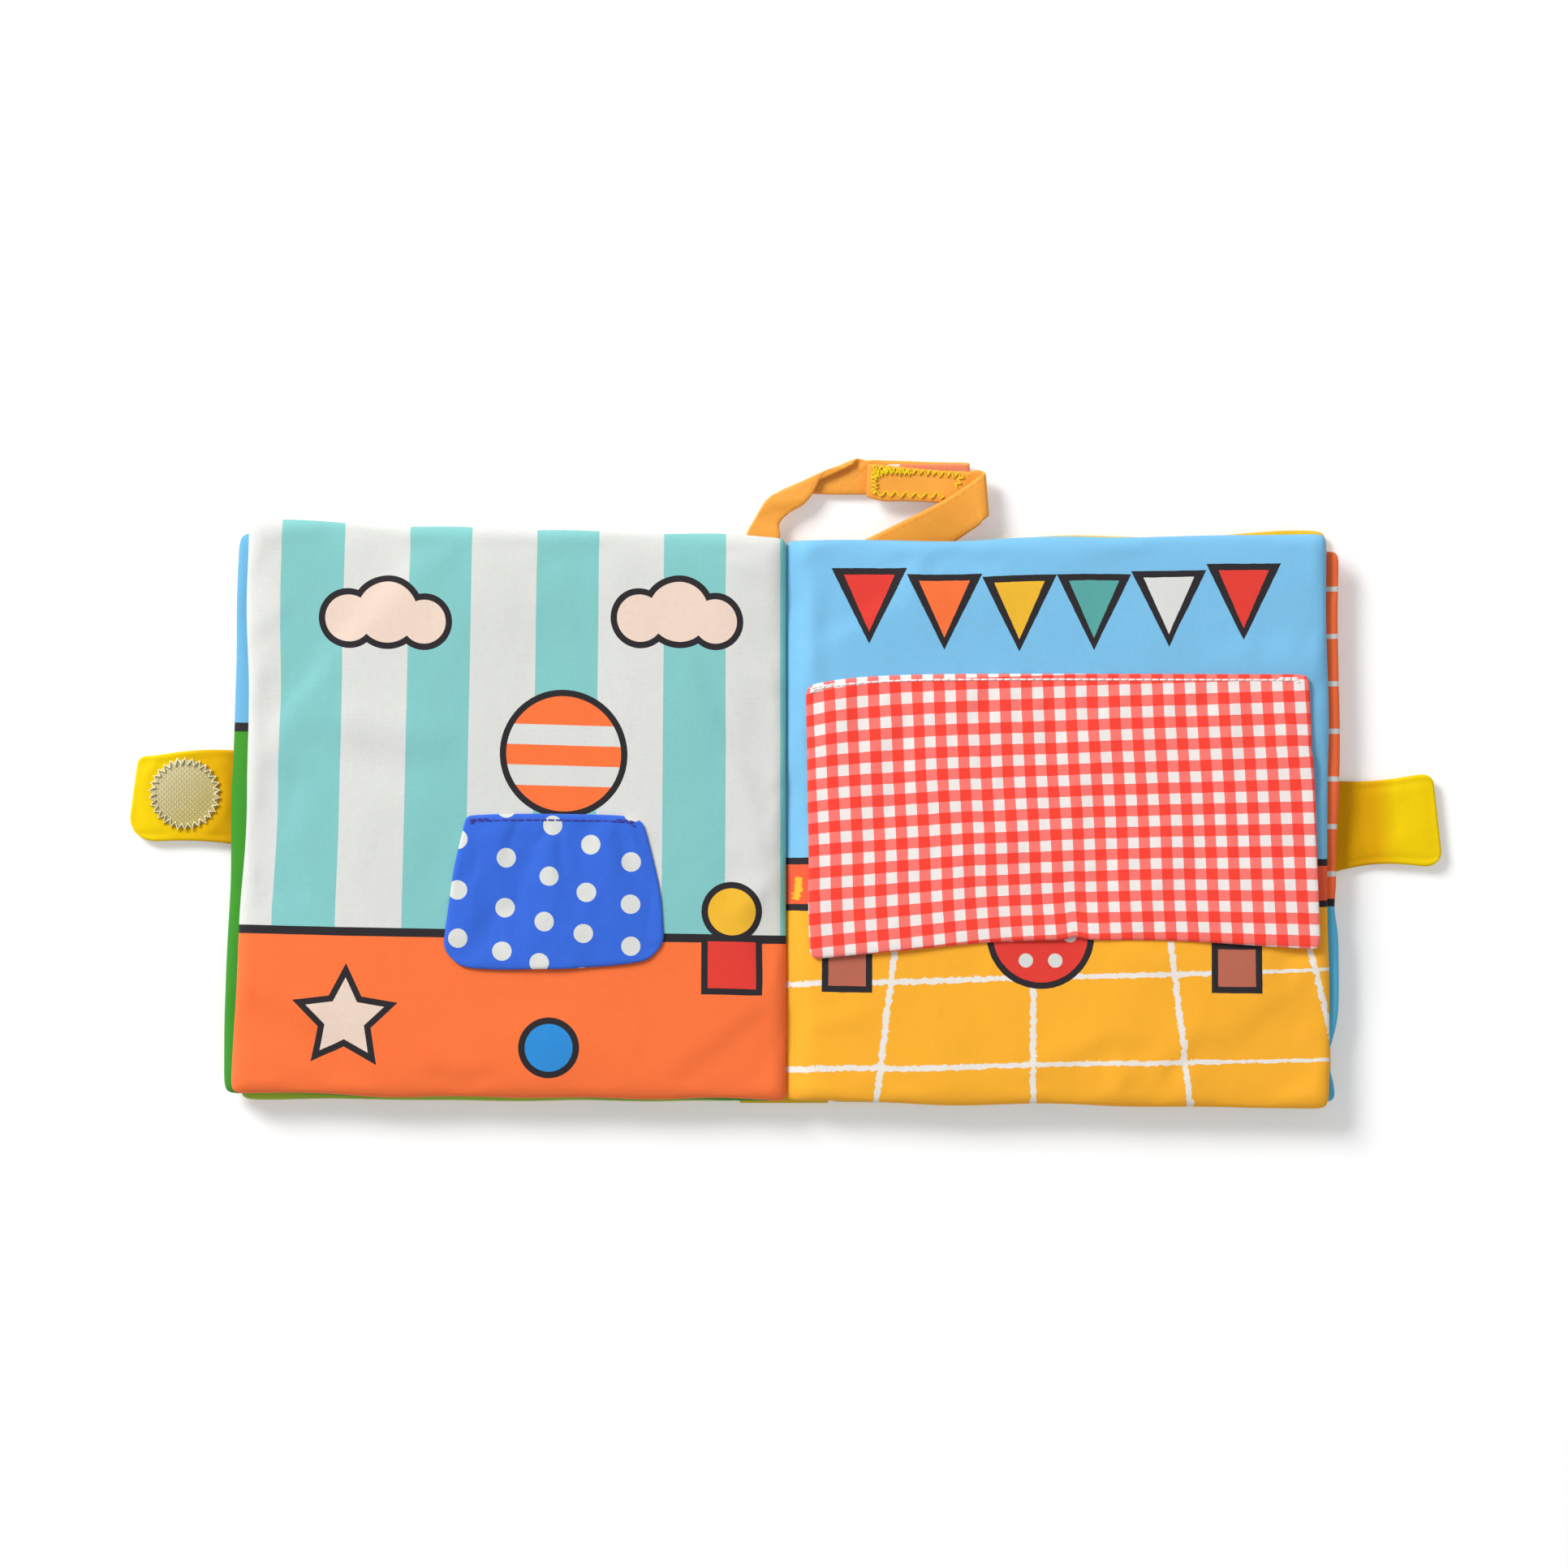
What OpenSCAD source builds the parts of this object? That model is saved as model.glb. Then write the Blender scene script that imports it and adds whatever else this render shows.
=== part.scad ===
// Soft cloth book lying open: padded leaves, two lift-up flaps, side tabs and a strap handle.
// Millimetres. X to the right, Y to the head of the book, Z up. Origin under the middle of the box.

/* [Pages] */
// Width of a page from the gutter to the fore edge
page_w = 160.5; // [150:0.5:172]
// Height of a page at the gutter
page_h = 166.8; // [156:0.2:178]
// Thickness of one padded leaf
leaf_t = 3.6; // [3:0.1:4.4]
// Space on each side of the gutter line
gutter_gap = 0.3; // [0.3:0.1:0.8]
// Radius of the soft leaf corners
leaf_r = 2; // [1.4:0.2:5]
// Step in from the edge to the flat top of a leaf
edge_soft = 0.6; // [0.3:0.1:1]
// Depth of the waves along the leaf edges
edge_wave = 0.6; // [0:0.1:1]
// How far the fore edge of the left page slants out at the foot
fore_slant = 5.5; // [0:0.5:7]
// How far the head of the left page rises to the fore edge
head_rise = 5.6; // [0:0.2:6.4]
// How far the foot of the right page drops to the fore edge
foot_drop = 2.4; // [0.5:0.1:3.5]
// How far the under leaves show past the top leaves
under_show = 3.2; // [2:0.2:4]

/* [Spine] */
// Width of the spine cloth, laid flat
spine_w = 26; // [24:0.5:30]
// Room between the top page and the fold axis
fold_room = 2.6; // [2.5:0.1:3.4]

/* [Flaps] */
// Thickness of a cloth flap
flap_t = 1.6; // [1:0.1:1.7]
// Room between a page and its flap
flap_lift = 0.6; // [0.55:0.05:0.7]
// Width of the dotted flap at its sewn edge
dot_flap_top_w = 52.5; // [46:0.5:60]
// Width of the dotted flap at its widest
dot_flap_low_w = 66; // [61:0.5:72]
// Height of the dotted flap
dot_flap_h = 44.5; // [38:0.5:48]
// Diameter of a white dot
dot_d = 5.6; // [4:0.2:7]
// Width of the gingham flap
check_flap_w = 149; // [138:0.5:149]
// Height of the gingham flap
check_flap_h = 79.5; // [70:0.5:82]
// Pitch of the gingham check
check_pitch = 6.8; // [6:0.1:9]

/* [Tabs] */
// Reach of a side tab past its cover
tab_reach = 34; // [26:0.5:38]
// Width of a side tab at its seam
tab_w = 28; // [25:0.5:31]
// Thickness of a side tab
tab_t = 1.4; // [1:0.1:1.6]
// Diameter of a round fastening patch
patch_d = 22; // [18:0.5:23]
// Thickness of a fastening patch
patch_t = 0.8; // [0.5:0.1:1]

/* [Handle] */
// Width of a handle strap
strap_w = 11; // [9.5:0.1:11.4]
// Thickness of a handle strap
strap_t = 1.2; // [0.8:0.1:1.3]
// Reach of the handle past the head of the book at the gutter
strap_reach = 23.4; // [23.4:0.1:25]
// Distance from the gutter to the far end of the left strap's turned edge
turn_x = 20.2; // [19:0.1:21]
// Slant of the left strap's turned edge
turn_slant = 23; // [22:0.5:25]
// Slant of the right strap
strap_slant = 30; // [29:0.5:30.5]
// Distance from the gutter to the folded end of the right strap
strap_fold_x = 61; // [60:0.1:63]
// Height of the handle's lower layer above the table
handle_z = 1.2; // [0.8:0.1:1.4]

/* [Hidden] */
print_t = 0.1;
thread_t = 0.2;
thread_w = 0.5;
seam_in = 1.9;
channel_gap = 0.3;

// Heights of the stack
cover_z = 0;
under_z = leaf_t;
leaf_z = 2 * leaf_t;
page_z = 3 * leaf_t;
flap_z = page_z + flap_lift;
fold_z = page_z + fold_room;
flap_axis_z = flap_z + flap_t / 2;

// Head and foot, with the box centred on the origin
depth = page_h + foot_drop + strap_reach;
foot_y = -depth / 2 + foot_drop;
head_y = foot_y + page_h;

// Corners of each sheet: gutter foot, fore foot, fore head, gutter head
left_c = [
    [-gutter_gap, foot_y],
    [-page_w - fore_slant / 2, foot_y + 2.4],
    [-page_w + fore_slant / 2, head_y + head_rise],
    [-gutter_gap, head_y]
];
left_under_c = [
    [-gutter_gap, foot_y],
    [-page_w - fore_slant / 2 - under_show, foot_y + 2],
    [-page_w + fore_slant / 2 - under_show - 0.7, head_y + head_rise - 4],
    [-gutter_gap, head_y - 0.6]
];
right_c = [
    [gutter_gap, foot_y],
    [page_w + 0.5, foot_y - foot_drop],
    [page_w + 0.5, head_y + 1.2],
    [gutter_gap, head_y - 1]
];
right_under_c = [
    [gutter_gap, foot_y + 0.5],
    [page_w + 0.5 + under_show, foot_y - 0.2],
    [page_w + 0.5 + under_show, head_y - 3.5],
    [gutter_gap, head_y - 2]
];
front_cover_c = [
    [-spine_w / 2, foot_y - 0.6],
    [-page_w - 1.2, foot_y + 0.4],
    [-page_w - 0.2, head_y + 2.4],
    [-spine_w / 2, head_y - 1]
];
back_cover_c = [
    [spine_w / 2, foot_y - 0.6],
    [page_w + 1.8, foot_y - 1.2],
    [page_w + 1.2, head_y + 2],
    [spine_w / 2, head_y - 1.4]
];

// Flap corners: foot left, foot right, then the sewn edge right and left
dot_mid_x = -page_w * 0.422;
dot_top_y = foot_y + page_h * 0.51;
dot_c = [
    [dot_mid_x - dot_flap_low_w / 2, dot_top_y - dot_flap_h],
    [dot_mid_x + dot_flap_low_w / 2, dot_top_y - dot_flap_h + 2.4],
    [dot_mid_x + dot_flap_top_w / 2, dot_top_y],
    [dot_mid_x - dot_flap_top_w / 2, dot_top_y]
];
check_left_x = page_w * 0.04;
check_top_y = foot_y + page_h * 0.762;
check_c = [
    [check_left_x + 1.2, check_top_y - check_flap_h - 5.4],
    [check_left_x + check_flap_w + 3, check_top_y - check_flap_h - 2.8],
    [check_left_x + check_flap_w, check_top_y - 1],
    [check_left_x, check_top_y - 4.8]
];
check_head_bow = 2.6;
check_foot_bow = 4;

// Handle: two legs of the left strap, then pads, end piece and run of the right strap, layer on layer
strap_z = leaf_t;
top_y = head_y + strap_reach;
loop_pad_z = handle_z + strap_t;
hook_pad_z = loop_pad_z + patch_t;
end_piece_z = hook_pad_z + patch_t;
run_z = end_piece_z + strap_t + 0.6;
leg_z = handle_z + strap_t + 0.6;
turn_ro = (leg_z + strap_t - handle_z) / 2;
fold_ro = (run_z + strap_t - end_piece_z) / 2;
turn_dir = [cos(turn_slant), sin(turn_slant)];
turn_p = [turn_x, top_y] + turn_ro * [turn_dir[1], -turn_dir[0]];
turn_q = turn_p - turn_dir * strap_w * 0.92 / turn_dir[1];
strap_end_x = strap_fold_x - 5.7;
fold_p = [strap_fold_x - 3, head_y + 19.1];
fold_q = [strap_fold_x - 1.3, head_y + 6.4];
run_x = 5.8;
end_piece_x = 24;
end_piece_y = head_y + 16.6;

// Colours
cloth_white = [0.92, 0.92, 0.90];
teal = [0.53, 0.81, 0.79];
ink = [0.17, 0.15, 0.17];
floor_orange = [1.0, 0.43, 0.21];
sky = [0.43, 0.70, 0.86];
grass = [0.28, 0.60, 0.18];
cover_yellow = [0.90, 0.79, 0.10];
wall_blue = [0.52, 0.77, 0.92];
floor_yellow = [0.98, 0.68, 0.18];
band_brown = [0.80, 0.32, 0.22];
pool_blue = [0.35, 0.71, 0.86];
tile_orange = [1.0, 0.42, 0.22];
flap_blue = [0.18, 0.41, 0.84];
light_red = [1.0, 0.49, 0.45];
dark_red = [0.98, 0.25, 0.18];
strap_orange = [0.98, 0.64, 0.20];
patch_cream = [0.80, 0.76, 0.60];
peach = [0.93, 0.81, 0.75];
toy_red = [0.88, 0.20, 0.17];
toy_blue = [0.16, 0.55, 0.85];
toy_yellow = [0.97, 0.80, 0.22];
toy_teal = [0.33, 0.65, 0.63];

// Points and outlines
function lerp(a, b, t) = a + (b - a) * t;
function unit(v) = v / norm(v);
function at(c, u, v) = lerp(lerp(c[0], c[1], u), lerp(c[3], c[2], u), v);
function inset(c, d) = let (m = (c[0] + c[1] + c[2] + c[3]) / 4)
    [for (p = c) [p[0] - sign(p[0] - m[0]) * d, p[1] - sign(p[1] - m[1]) * d]];
function corner(p, q, s, r) = let (a = q + unit(p - q) * r, b = q + unit(s - q) * r)
    [for (i = [0:2]) let (t = i / 2) lerp(lerp(a, q, t), lerp(q, b, t), t)];
function edge(q, s, r, e, amp, waves) = let (
    a = q + unit(s - q) * r,
    b = s + unit(q - s) * e,
    n = [-(b - a)[1], (b - a)[0]] / norm(b - a)
) [for (i = [1:4]) let (t = i / 5) lerp(a, b, t) + n * amp * sin(180 * waves * t)];

// Outline of a soft four-cornered sheet: radius, wave depth and wave count for each corner and side
function sheet_outline(c, r, amp, waves) = [
    for (i = [0:3]) let (p = c[(i + 3) % 4], q = c[i], s = c[(i + 1) % 4])
        each concat(
            corner(p, q, s, r[i]),
            edge(q, s, r[i], r[(i + 1) % 4], amp[i], waves[i])
        )
];
function leaf_outline(c) = sheet_outline(
    c, [0.6, leaf_r, leaf_r, 0.6], edge_wave * [0.5, 0.9, 0.5, 0], [3, 2, 2, 1]
);
function dot_outline(d) = sheet_outline(
    inset(dot_c, d), [7, 7, 1.2, 1.2], [-2.4, -1.6, 0, -1.6], [1, 1, 1, 1]
);
function check_outline(d) = sheet_outline(
    inset(check_c, d), [1.2, 1.6, 4, 1.2], [check_foot_bow, 0.8, -check_head_bow, 0.6], [1, 1, 1, 1]
);
function ring_points(r, amp, n) = [
    for (i = [0:n - 1]) (r + amp * (i % 2 == 0 ? 1 : -1)) * [cos(360 * i / n), sin(360 * i / n)]
];
function zigzag(a, b, n, amp, w) = let (d = b - a, m = [-d[1], d[0]] / norm(d)) concat(
    [for (i = [0:n]) a + d * i / n + m * (amp * (i % 2 == 0 ? 1 : -1) + w / 2)],
    [for (i = [n:-1:0]) a + d * i / n + m * (amp * (i % 2 == 0 ? 1 : -1) - w / 2)]
);
function star(p, r) = [
    for (i = [0:9]) p + (i % 2 == 0 ? r : r * 0.5) * [sin(36 * i), cos(36 * i)]
];
function shift(c, dx, dy) = [for (p = c) p + [dx, dy]];

// Shared shapes
module plate(points, z, t) {
    translate([0, 0, z])
        linear_extrude(height = t)
            polygon(points);
}

// A padded leaf: three stacked sheets, the outer two stepped in, with its printed skin left off
module padded(c, z, t) {
    plate(leaf_outline(inset(c, edge_soft)), z, t * 0.25);
    plate(leaf_outline(c), z + t * 0.25, t * 0.45);
    plate(leaf_outline(inset(c, edge_soft)), z + t * 0.7, t * 0.3);
}

// A printed field between two widths and two heights of a page, flush with its top
module field(c, z, u0, u1, v0, v1) {
    intersection() {
        plate(leaf_outline(inset(c, edge_soft)), z - print_t, print_t);
        plate([at(c, u0, v0), at(c, u1, v0), at(c, u1, v1), at(c, u0, v1)], z - 1, 2);
    }
}

module dot(p, r, z, t) {
    n = r > 8 ? 24 : r > 4 ? 16 : 10;
    plate([for (i = [0:n - 1]) p + r * [cos(360 * i / n), sin(360 * i / n)]], z, t);
}

module block(p, w, h, z, t) {
    translate([p[0] - w / 2, p[1] - h / 2, z])
        cube([w, h, t]);
}

// Handle straps, seen from above
left_leg = [
    [-12.4, head_y - 11],
    [-2.4, head_y - 11],
    [-1.4, head_y + 1.1],
    [-1, head_y + 4.3],
    [1.2, head_y + 6.7],
    [4.6, head_y + 8.7],
    [7.6, head_y + 10.7],
    turn_p,
    turn_q,
    [-4.6, head_y + 11.5],
    [-6.8, head_y + 9.1],
    [-9.1, head_y + 5.3],
    [-11, head_y + 2],
    [-12.2, head_y - 1]
];
left_end = [
    turn_q,
    [8.8, turn_q[1] + 0.9],
    [strap_end_x, top_y - 10.4],
    [strap_end_x, top_y - 0.8],
    [turn_x + 4, top_y - 0.2],
    turn_p
];
end_piece = [
    [end_piece_x, end_piece_y - 4],
    [end_piece_x + 0.8, end_piece_y - 5.3],
    [end_piece_x + 4, end_piece_y - 5.7],
    [end_piece_x + 23, end_piece_y - 6.1],
    fold_q,
    fold_p,
    [end_piece_x + 1.4, end_piece_y + 5.4],
    [end_piece_x, end_piece_y + 4.6]
];
function run_y(x) = fold_p[1] - (fold_p[0] - x) * tan(strap_slant);
function run_points(g) = [
    [run_x - g, run_y(run_x) - strap_w * 1.12 - 1.3 * g],
    [strap_fold_x - 9.5, head_y - 0.3 - 1.3 * g],
    fold_q,
    fold_p,
    [run_x - g, run_y(run_x) + 1.3 * g]
];

// A strap seen from above, laid on a line of heights along Y
module strap_sheet(points, line) {
    intersection() {
        plate(points, 0, 20);
        translate([-60, 0, 0])
            rotate([90, 0, 90])
                linear_extrude(height = 160)
                    polygon(concat(line, [for (i = [len(line) - 1:-1:0]) line[i] + [0, strap_t]]));
    }
}

// The round bend where a strap turns back on itself, on the left of the way from p to q
module strap_turn(p, q, z, ro) {
    run = norm(q - p);
    translate([p[0], p[1], z + ro])
        rotate([0, 0, atan2(q[1] - p[1], q[0] - p[0])])
            difference() {
                rotate([0, 90, 0])
                    cylinder(r = ro, h = run, $fn = 32);
                translate([-1, 0, 0])
                    rotate([0, 90, 0])
                        cylinder(r = ro - strap_t, h = run + 2, $fn = 32);
                translate([-1, -20.05, -10])
                    cube([run + 2, 20, 20]);
            }
}

// Room for the sewn root of the right strap, and for the left leaf to lift off its strap
module strap_channel() {
    plate(run_points(channel_gap), strap_z - 1, strap_t + 1.3);
}

module strap_bay() {
    translate([-spine_w / 2 - 2, head_y - 13, strap_z - 1])
        cube([spine_w + 2, 40, strap_t + 1.8]);
}

// Side tabs, from the seam out
left_seam_x = -page_w - 1;
right_seam_x = page_w + 1.4;
left_tab_y = foot_y + page_h * 0.533;
right_tab_y = foot_y + page_h * 0.488;
left_tab_c = [
    [left_seam_x + 5, left_tab_y - tab_w / 2],
    [left_seam_x - tab_reach + 0.4, left_tab_y - tab_w / 2 + 2.2],
    [left_seam_x - tab_reach + 4, left_tab_y + tab_w / 2 - 1.8],
    [left_seam_x + 5, left_tab_y + tab_w / 2]
];
right_tab_c = [
    [right_seam_x - 5, right_tab_y - tab_w / 2],
    [right_seam_x + tab_reach, right_tab_y - tab_w / 2 + 4],
    [right_seam_x + tab_reach - 3, right_tab_y + tab_w / 2 + 0.6],
    [right_seam_x - 5, right_tab_y + tab_w / 2 - 0.4]
];
tab_z = leaf_t * 0.5 - tab_t / 2;
left_patch_p = [left_seam_x - tab_reach * 0.49, left_tab_y + 0.6];
right_patch_p = [right_seam_x + tab_reach * 0.52, right_tab_y + 1];

module tab_sheet(c, r, bow) {
    plate(sheet_outline(c, [0.5, r, r, 0.5], bow, [1, 1, 1, 1]), tab_z, tab_t);
}

// Left half
module front_cover() {
    color(cover_yellow)
        difference() {
            padded(front_cover_c, cover_z, leaf_t);
            left_tab_sheet();
        }
}

module left_under_leaf() {
    color(cloth_white)
        difference() {
            padded(left_under_c, under_z, leaf_t - print_t);
            strap_bay();
        }
}

module left_under_sky() {
    color(sky) field(left_under_c, leaf_z, -0.1, 1.1, 0.662, 1.1);
}

module left_under_line() {
    color(ink) field(left_under_c, leaf_z, -0.1, 1.1, 0.646, 0.662);
}

module left_under_grass() {
    color(grass) field(left_under_c, leaf_z, -0.1, 1.1, -0.1, 0.646);
}

module left_leaf() {
    color(cloth_white) padded(left_c, leaf_z, leaf_t - print_t);
}

stripe_pitch = 0.2365;
stripe_w = 0.1155;
stripe_from = 0.1126;
line_low = 0.279;
line_high = 0.294;

module left_stripes() {
    color(teal)
        for (i = [0:3])
            field(left_c, page_z, stripe_from + i * stripe_pitch,
                stripe_from + i * stripe_pitch + stripe_w, line_high, 1.1);
}

module left_wall() {
    color(cloth_white) {
        field(left_c, page_z, -0.1, stripe_from, line_high, 1.1);
        for (i = [0:2])
            field(left_c, page_z, stripe_from + i * stripe_pitch + stripe_w,
                stripe_from + (i + 1) * stripe_pitch, line_high, 1.1);
        field(left_c, page_z, stripe_from + 3 * stripe_pitch + stripe_w, 1.1, line_high, 1.1);
    }
}

module left_line() {
    color(ink) field(left_c, page_z, -0.1, 1.1, line_low, line_high);
}

module left_floor() {
    color(floor_orange) field(left_c, page_z, -0.1, 1.1, -0.1, line_low);
}

// Simple motifs: a striped ball, two clouds, a block tower and a star
ball_p = at(left_c, 0.41, 0.605);
ball_r = 17;
cloud_a = at(left_c, 0.74, 0.845);
cloud_b = at(left_c, 0.2, 0.86);
tower_p = at(left_c, 0.1, 0.24);
tower_w = 14;
star_p = at(left_c, 0.8, 0.135);
star_r = 12;
bead_p = at(left_c, 0.43, 0.09);
ink_w = 1.9;

module cloud(p, g, z) {
    union() {
        dot(p, 9 + g, z, print_t);
        dot(p + [-11, -2.6], 6.5 + g, z, print_t);
        dot(p + [11.5, -2.2], 7 + g, z, print_t);
    }
}

module left_ink() {
    color(ink) {
        dot(ball_p, ball_r + ink_w, page_z, print_t);
        cloud(cloud_a, ink_w, page_z);
        cloud(cloud_b, ink_w, page_z);
        block(tower_p, tower_w + 2 * ink_w, tower_w + 2 * ink_w, page_z, print_t);
        dot(tower_p + [0, tower_w + ink_w], tower_w / 2 + ink_w, page_z, print_t);
        plate(star(star_p, star_r + 2.2 * ink_w), page_z, print_t);
        dot(bead_p, 7 + ink_w, page_z, print_t);
    }
}

module left_peach() {
    color(peach) {
        cloud(cloud_a, 0, page_z + print_t);
        cloud(cloud_b, 0, page_z + print_t);
        plate(star(star_p, star_r), page_z + print_t, print_t);
    }
}

module left_orange() {
    color(floor_orange)
        difference() {
            dot(ball_p, ball_r, page_z + print_t, print_t);
            ball_band();
        }
}

module ball_band() {
    block(ball_p + [0, 5.5], 2 * ball_r + 4, 6, page_z, 1);
    block(ball_p + [0, -6.5], 2 * ball_r + 4, 6, page_z, 1);
}

module left_white() {
    color(cloth_white)
        intersection() {
            dot(ball_p, ball_r, page_z + print_t, print_t);
            ball_band();
        }
}

module left_red() {
    color(toy_red) block(tower_p, tower_w, tower_w, page_z + print_t, print_t);
}

module left_blue() {
    color(toy_blue) dot(bead_p, 7, page_z + print_t, print_t);
}

module left_yellow() {
    color(toy_yellow) dot(tower_p + [0, tower_w + ink_w], tower_w / 2, page_z + print_t, print_t);
}

module left_tab_sheet() {
    tab_sheet(left_tab_c, 6.5, [0.5, 0, 0.5, 0]);
}

module left_tab() {
    color(cover_yellow) left_tab_sheet();
}

module round_patch(p, z) {
    plate([for (i = [0:31]) p + patch_d / 2 * [cos(11.25 * i), sin(11.25 * i)]], z, patch_t);
}

module hook_patch() {
    color(patch_cream) round_patch(left_patch_p, tab_z + tab_t);
}

module hook_patch_thread() {
    color(cover_yellow)
        translate([left_patch_p[0], left_patch_p[1], tab_z + tab_t + patch_t])
            difference() {
                linear_extrude(height = thread_t)
                    polygon(ring_points(patch_d / 2 - 1.4 + thread_w / 2, 0.9, 36));
                translate([0, 0, -1])
                    linear_extrude(height = 3)
                        polygon(ring_points(patch_d / 2 - 1.4 - thread_w / 2, 0.9, 36));
            }
}

// Dotted flap
dot_step = [12.6, -4.5];
dot_drop = [-0.7, -13.5];
function dot_place(i, j) = [dot_mid_x - 14.3, dot_top_y + 0.6] + i * dot_step + j * dot_drop
    + 1.1 * [sin(97 * i + 41 * j), cos(61 * i + 83 * j)];

module dot_flap() {
    color(flap_blue) {
        plate(dot_outline(0.3), flap_z, flap_t * 0.25);
        plate(dot_outline(0), flap_z + flap_t * 0.25, flap_t * 0.5);
        plate(dot_outline(0.3), flap_z + flap_t * 0.75, flap_t * 0.25);
    }
}

module dots() {
    color(cloth_white)
        intersection() {
            plate(dot_outline(0.4), flap_z + flap_t, print_t);
            union()
                for (i = [-1:4], j = [-1:3])
                    dot(dot_place(i, j), dot_d / 2, flap_z + flap_t - 1, 2);
        }
}

module dot_flap_thread() {
    color([0.24, 0.24, 0.62])
        block([dot_mid_x, dot_top_y - seam_in], dot_flap_top_w - 3, thread_w,
            flap_z + flap_t + print_t, print_t);
}

// Right half
module spine() {
    color(cover_yellow)
        plate([
            [-spine_w / 2, foot_y - 1],
            [spine_w / 2, foot_y - 1],
            [spine_w / 2, head_y - 1.6],
            [-spine_w / 2, head_y - 1.6]
        ], cover_z, leaf_t);
}

module back_cover() {
    color(cover_yellow)
        difference() {
            padded(back_cover_c, cover_z, leaf_t);
            right_tab_sheet();
        }
}

module right_under_leaf() {
    color(cloth_white)
        difference() {
            padded(right_under_c, under_z, leaf_t - print_t);
            strap_channel();
        }
}

joint_pitch = 0.0862;
joint_w = 0.009;
under_line_low = 0.354;
under_line_high = 0.368;

module right_under_tiles() {
    color(tile_orange)
        difference() {
            field(right_under_c, leaf_z, -0.1, 1.1, under_line_high, 1.1);
            under_joints();
        }
}

module under_joints() {
    for (i = [0:6])
        plate([
            at(right_under_c, 0.9, 0.925 - i * joint_pitch),
            at(right_under_c, 1.1, 0.925 - i * joint_pitch),
            at(right_under_c, 1.1, 0.925 + joint_w - i * joint_pitch),
            at(right_under_c, 0.9, 0.925 + joint_w - i * joint_pitch)
        ], leaf_z - 1, 2);
}

module right_under_joints() {
    color(cloth_white)
        intersection() {
            field(right_under_c, leaf_z, -0.1, 1.1, under_line_high, 1.1);
            under_joints();
        }
}

module right_under_line() {
    color(ink) field(right_under_c, leaf_z, -0.1, 1.1, under_line_low, under_line_high);
}

module right_under_pool() {
    color(pool_blue) field(right_under_c, leaf_z, -0.1, 1.1, -0.1, under_line_low);
}

module right_leaf() {
    color(cloth_white) padded(right_c, leaf_z, leaf_t - print_t);
}

band_low = 0.352;
band_high = 0.423;
rule_w = 0.012;

module right_wall() {
    color(wall_blue) field(right_c, page_z, -0.1, 1.1, band_high + rule_w, 1.1);
}

module right_lines() {
    color(ink) {
        field(right_c, page_z, -0.1, 1.1, band_high, band_high + rule_w);
        field(right_c, page_z, -0.1, 1.1, band_low - rule_w, band_low);
    }
}

module right_band() {
    color(band_brown) field(right_c, page_z, -0.1, 1.1, band_low, band_high);
}

module right_floor() {
    color(floor_yellow)
        difference() {
            field(right_c, page_z, -0.1, 1.1, -0.1, band_low - rule_w);
            tile_lines();
        }
}

// Drawn tile joints, fanning out to the foot
module tile_lines() {
    half = 0.006;
    for (v = [0.066, 0.223])
        plate([
            at(right_c, -0.1, v - half), at(right_c, 1.1, v - half),
            at(right_c, 1.1, v + half), at(right_c, -0.1, v + half)
        ], page_z - 1, 2);
    for (i = [0:3])
        plate([
            at(right_c, 0.165 + 0.29 * i - half, -0.02), at(right_c, 0.165 + 0.29 * i + half, -0.02),
            at(right_c, 0.205 + 0.25 * i + half, 0.29), at(right_c, 0.205 + 0.25 * i - half, 0.29)
        ], page_z - 1, 2);
}

module right_tile_lines() {
    color(cloth_white)
        intersection() {
            field(right_c, page_z, -0.1, 1.1, -0.1, band_low - rule_w);
            tile_lines();
        }
}

// Simple motifs: a row of bunting on the wall, a dotted ball and two blocks on the floor
flags = 6;
flag_w = 15;
flag_h = 17;
flag_step = 0.138;
ball2_p = at(right_c, 0.47, 0.3);
ball2_r = 14;
peg_a = at(right_c, 0.115, 0.24);
peg_b = at(right_c, 0.83, 0.245);
peg_w = 11;
function flag_p(i) = at(right_c, 0.155 + i * flag_step, 0.955 - 0.035 * sin(30 + 24 * i));
function flag_points(i, g) = let (p = flag_p(i)) [
    p + [-flag_w / 2 - g, g],
    p + [flag_w / 2 + g, g],
    p + [0, -flag_h - 1.9 * g]
];
module flags_of(list) {
    for (i = list)
        plate(flag_points(i, 0), page_z + print_t, print_t);
}

module right_ink() {
    color(ink) {
        for (i = [0:flags - 1])
            plate(flag_points(i, ink_w), page_z, print_t);
        dot(ball2_p, ball2_r + ink_w, page_z, print_t);
        block(peg_a, peg_w + 2 * ink_w, peg_w + 2 * ink_w, page_z, print_t);
        block(peg_b, peg_w + 2 * ink_w, peg_w + 2 * ink_w, page_z, print_t);
    }
}

module ball2_dots() {
    for (i = [0:5])
        dot(ball2_p + ball2_r * 0.62 * [cos(60 * i), sin(60 * i)], 2.1, page_z, 1);
}

module right_red() {
    color(toy_red) {
        flags_of([0, 5]);
        difference() {
            dot(ball2_p, ball2_r, page_z + print_t, print_t);
            ball2_dots();
        }
    }
}

module right_orange() {
    color(floor_orange) flags_of([1]);
}

module right_yellow() {
    color(toy_yellow) flags_of([2]);
}

module right_teal() {
    color(toy_teal) flags_of([3]);
}

module right_white() {
    color(cloth_white) {
        flags_of([4]);
        intersection() {
            dot(ball2_p, ball2_r, page_z + print_t, print_t);
            ball2_dots();
        }
    }
}

module right_brown() {
    color([0.74, 0.40, 0.32]) {
        block(peg_a, peg_w, peg_w, page_z + print_t, print_t);
        block(peg_b, peg_w, peg_w, page_z + print_t, print_t);
    }
}

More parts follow.
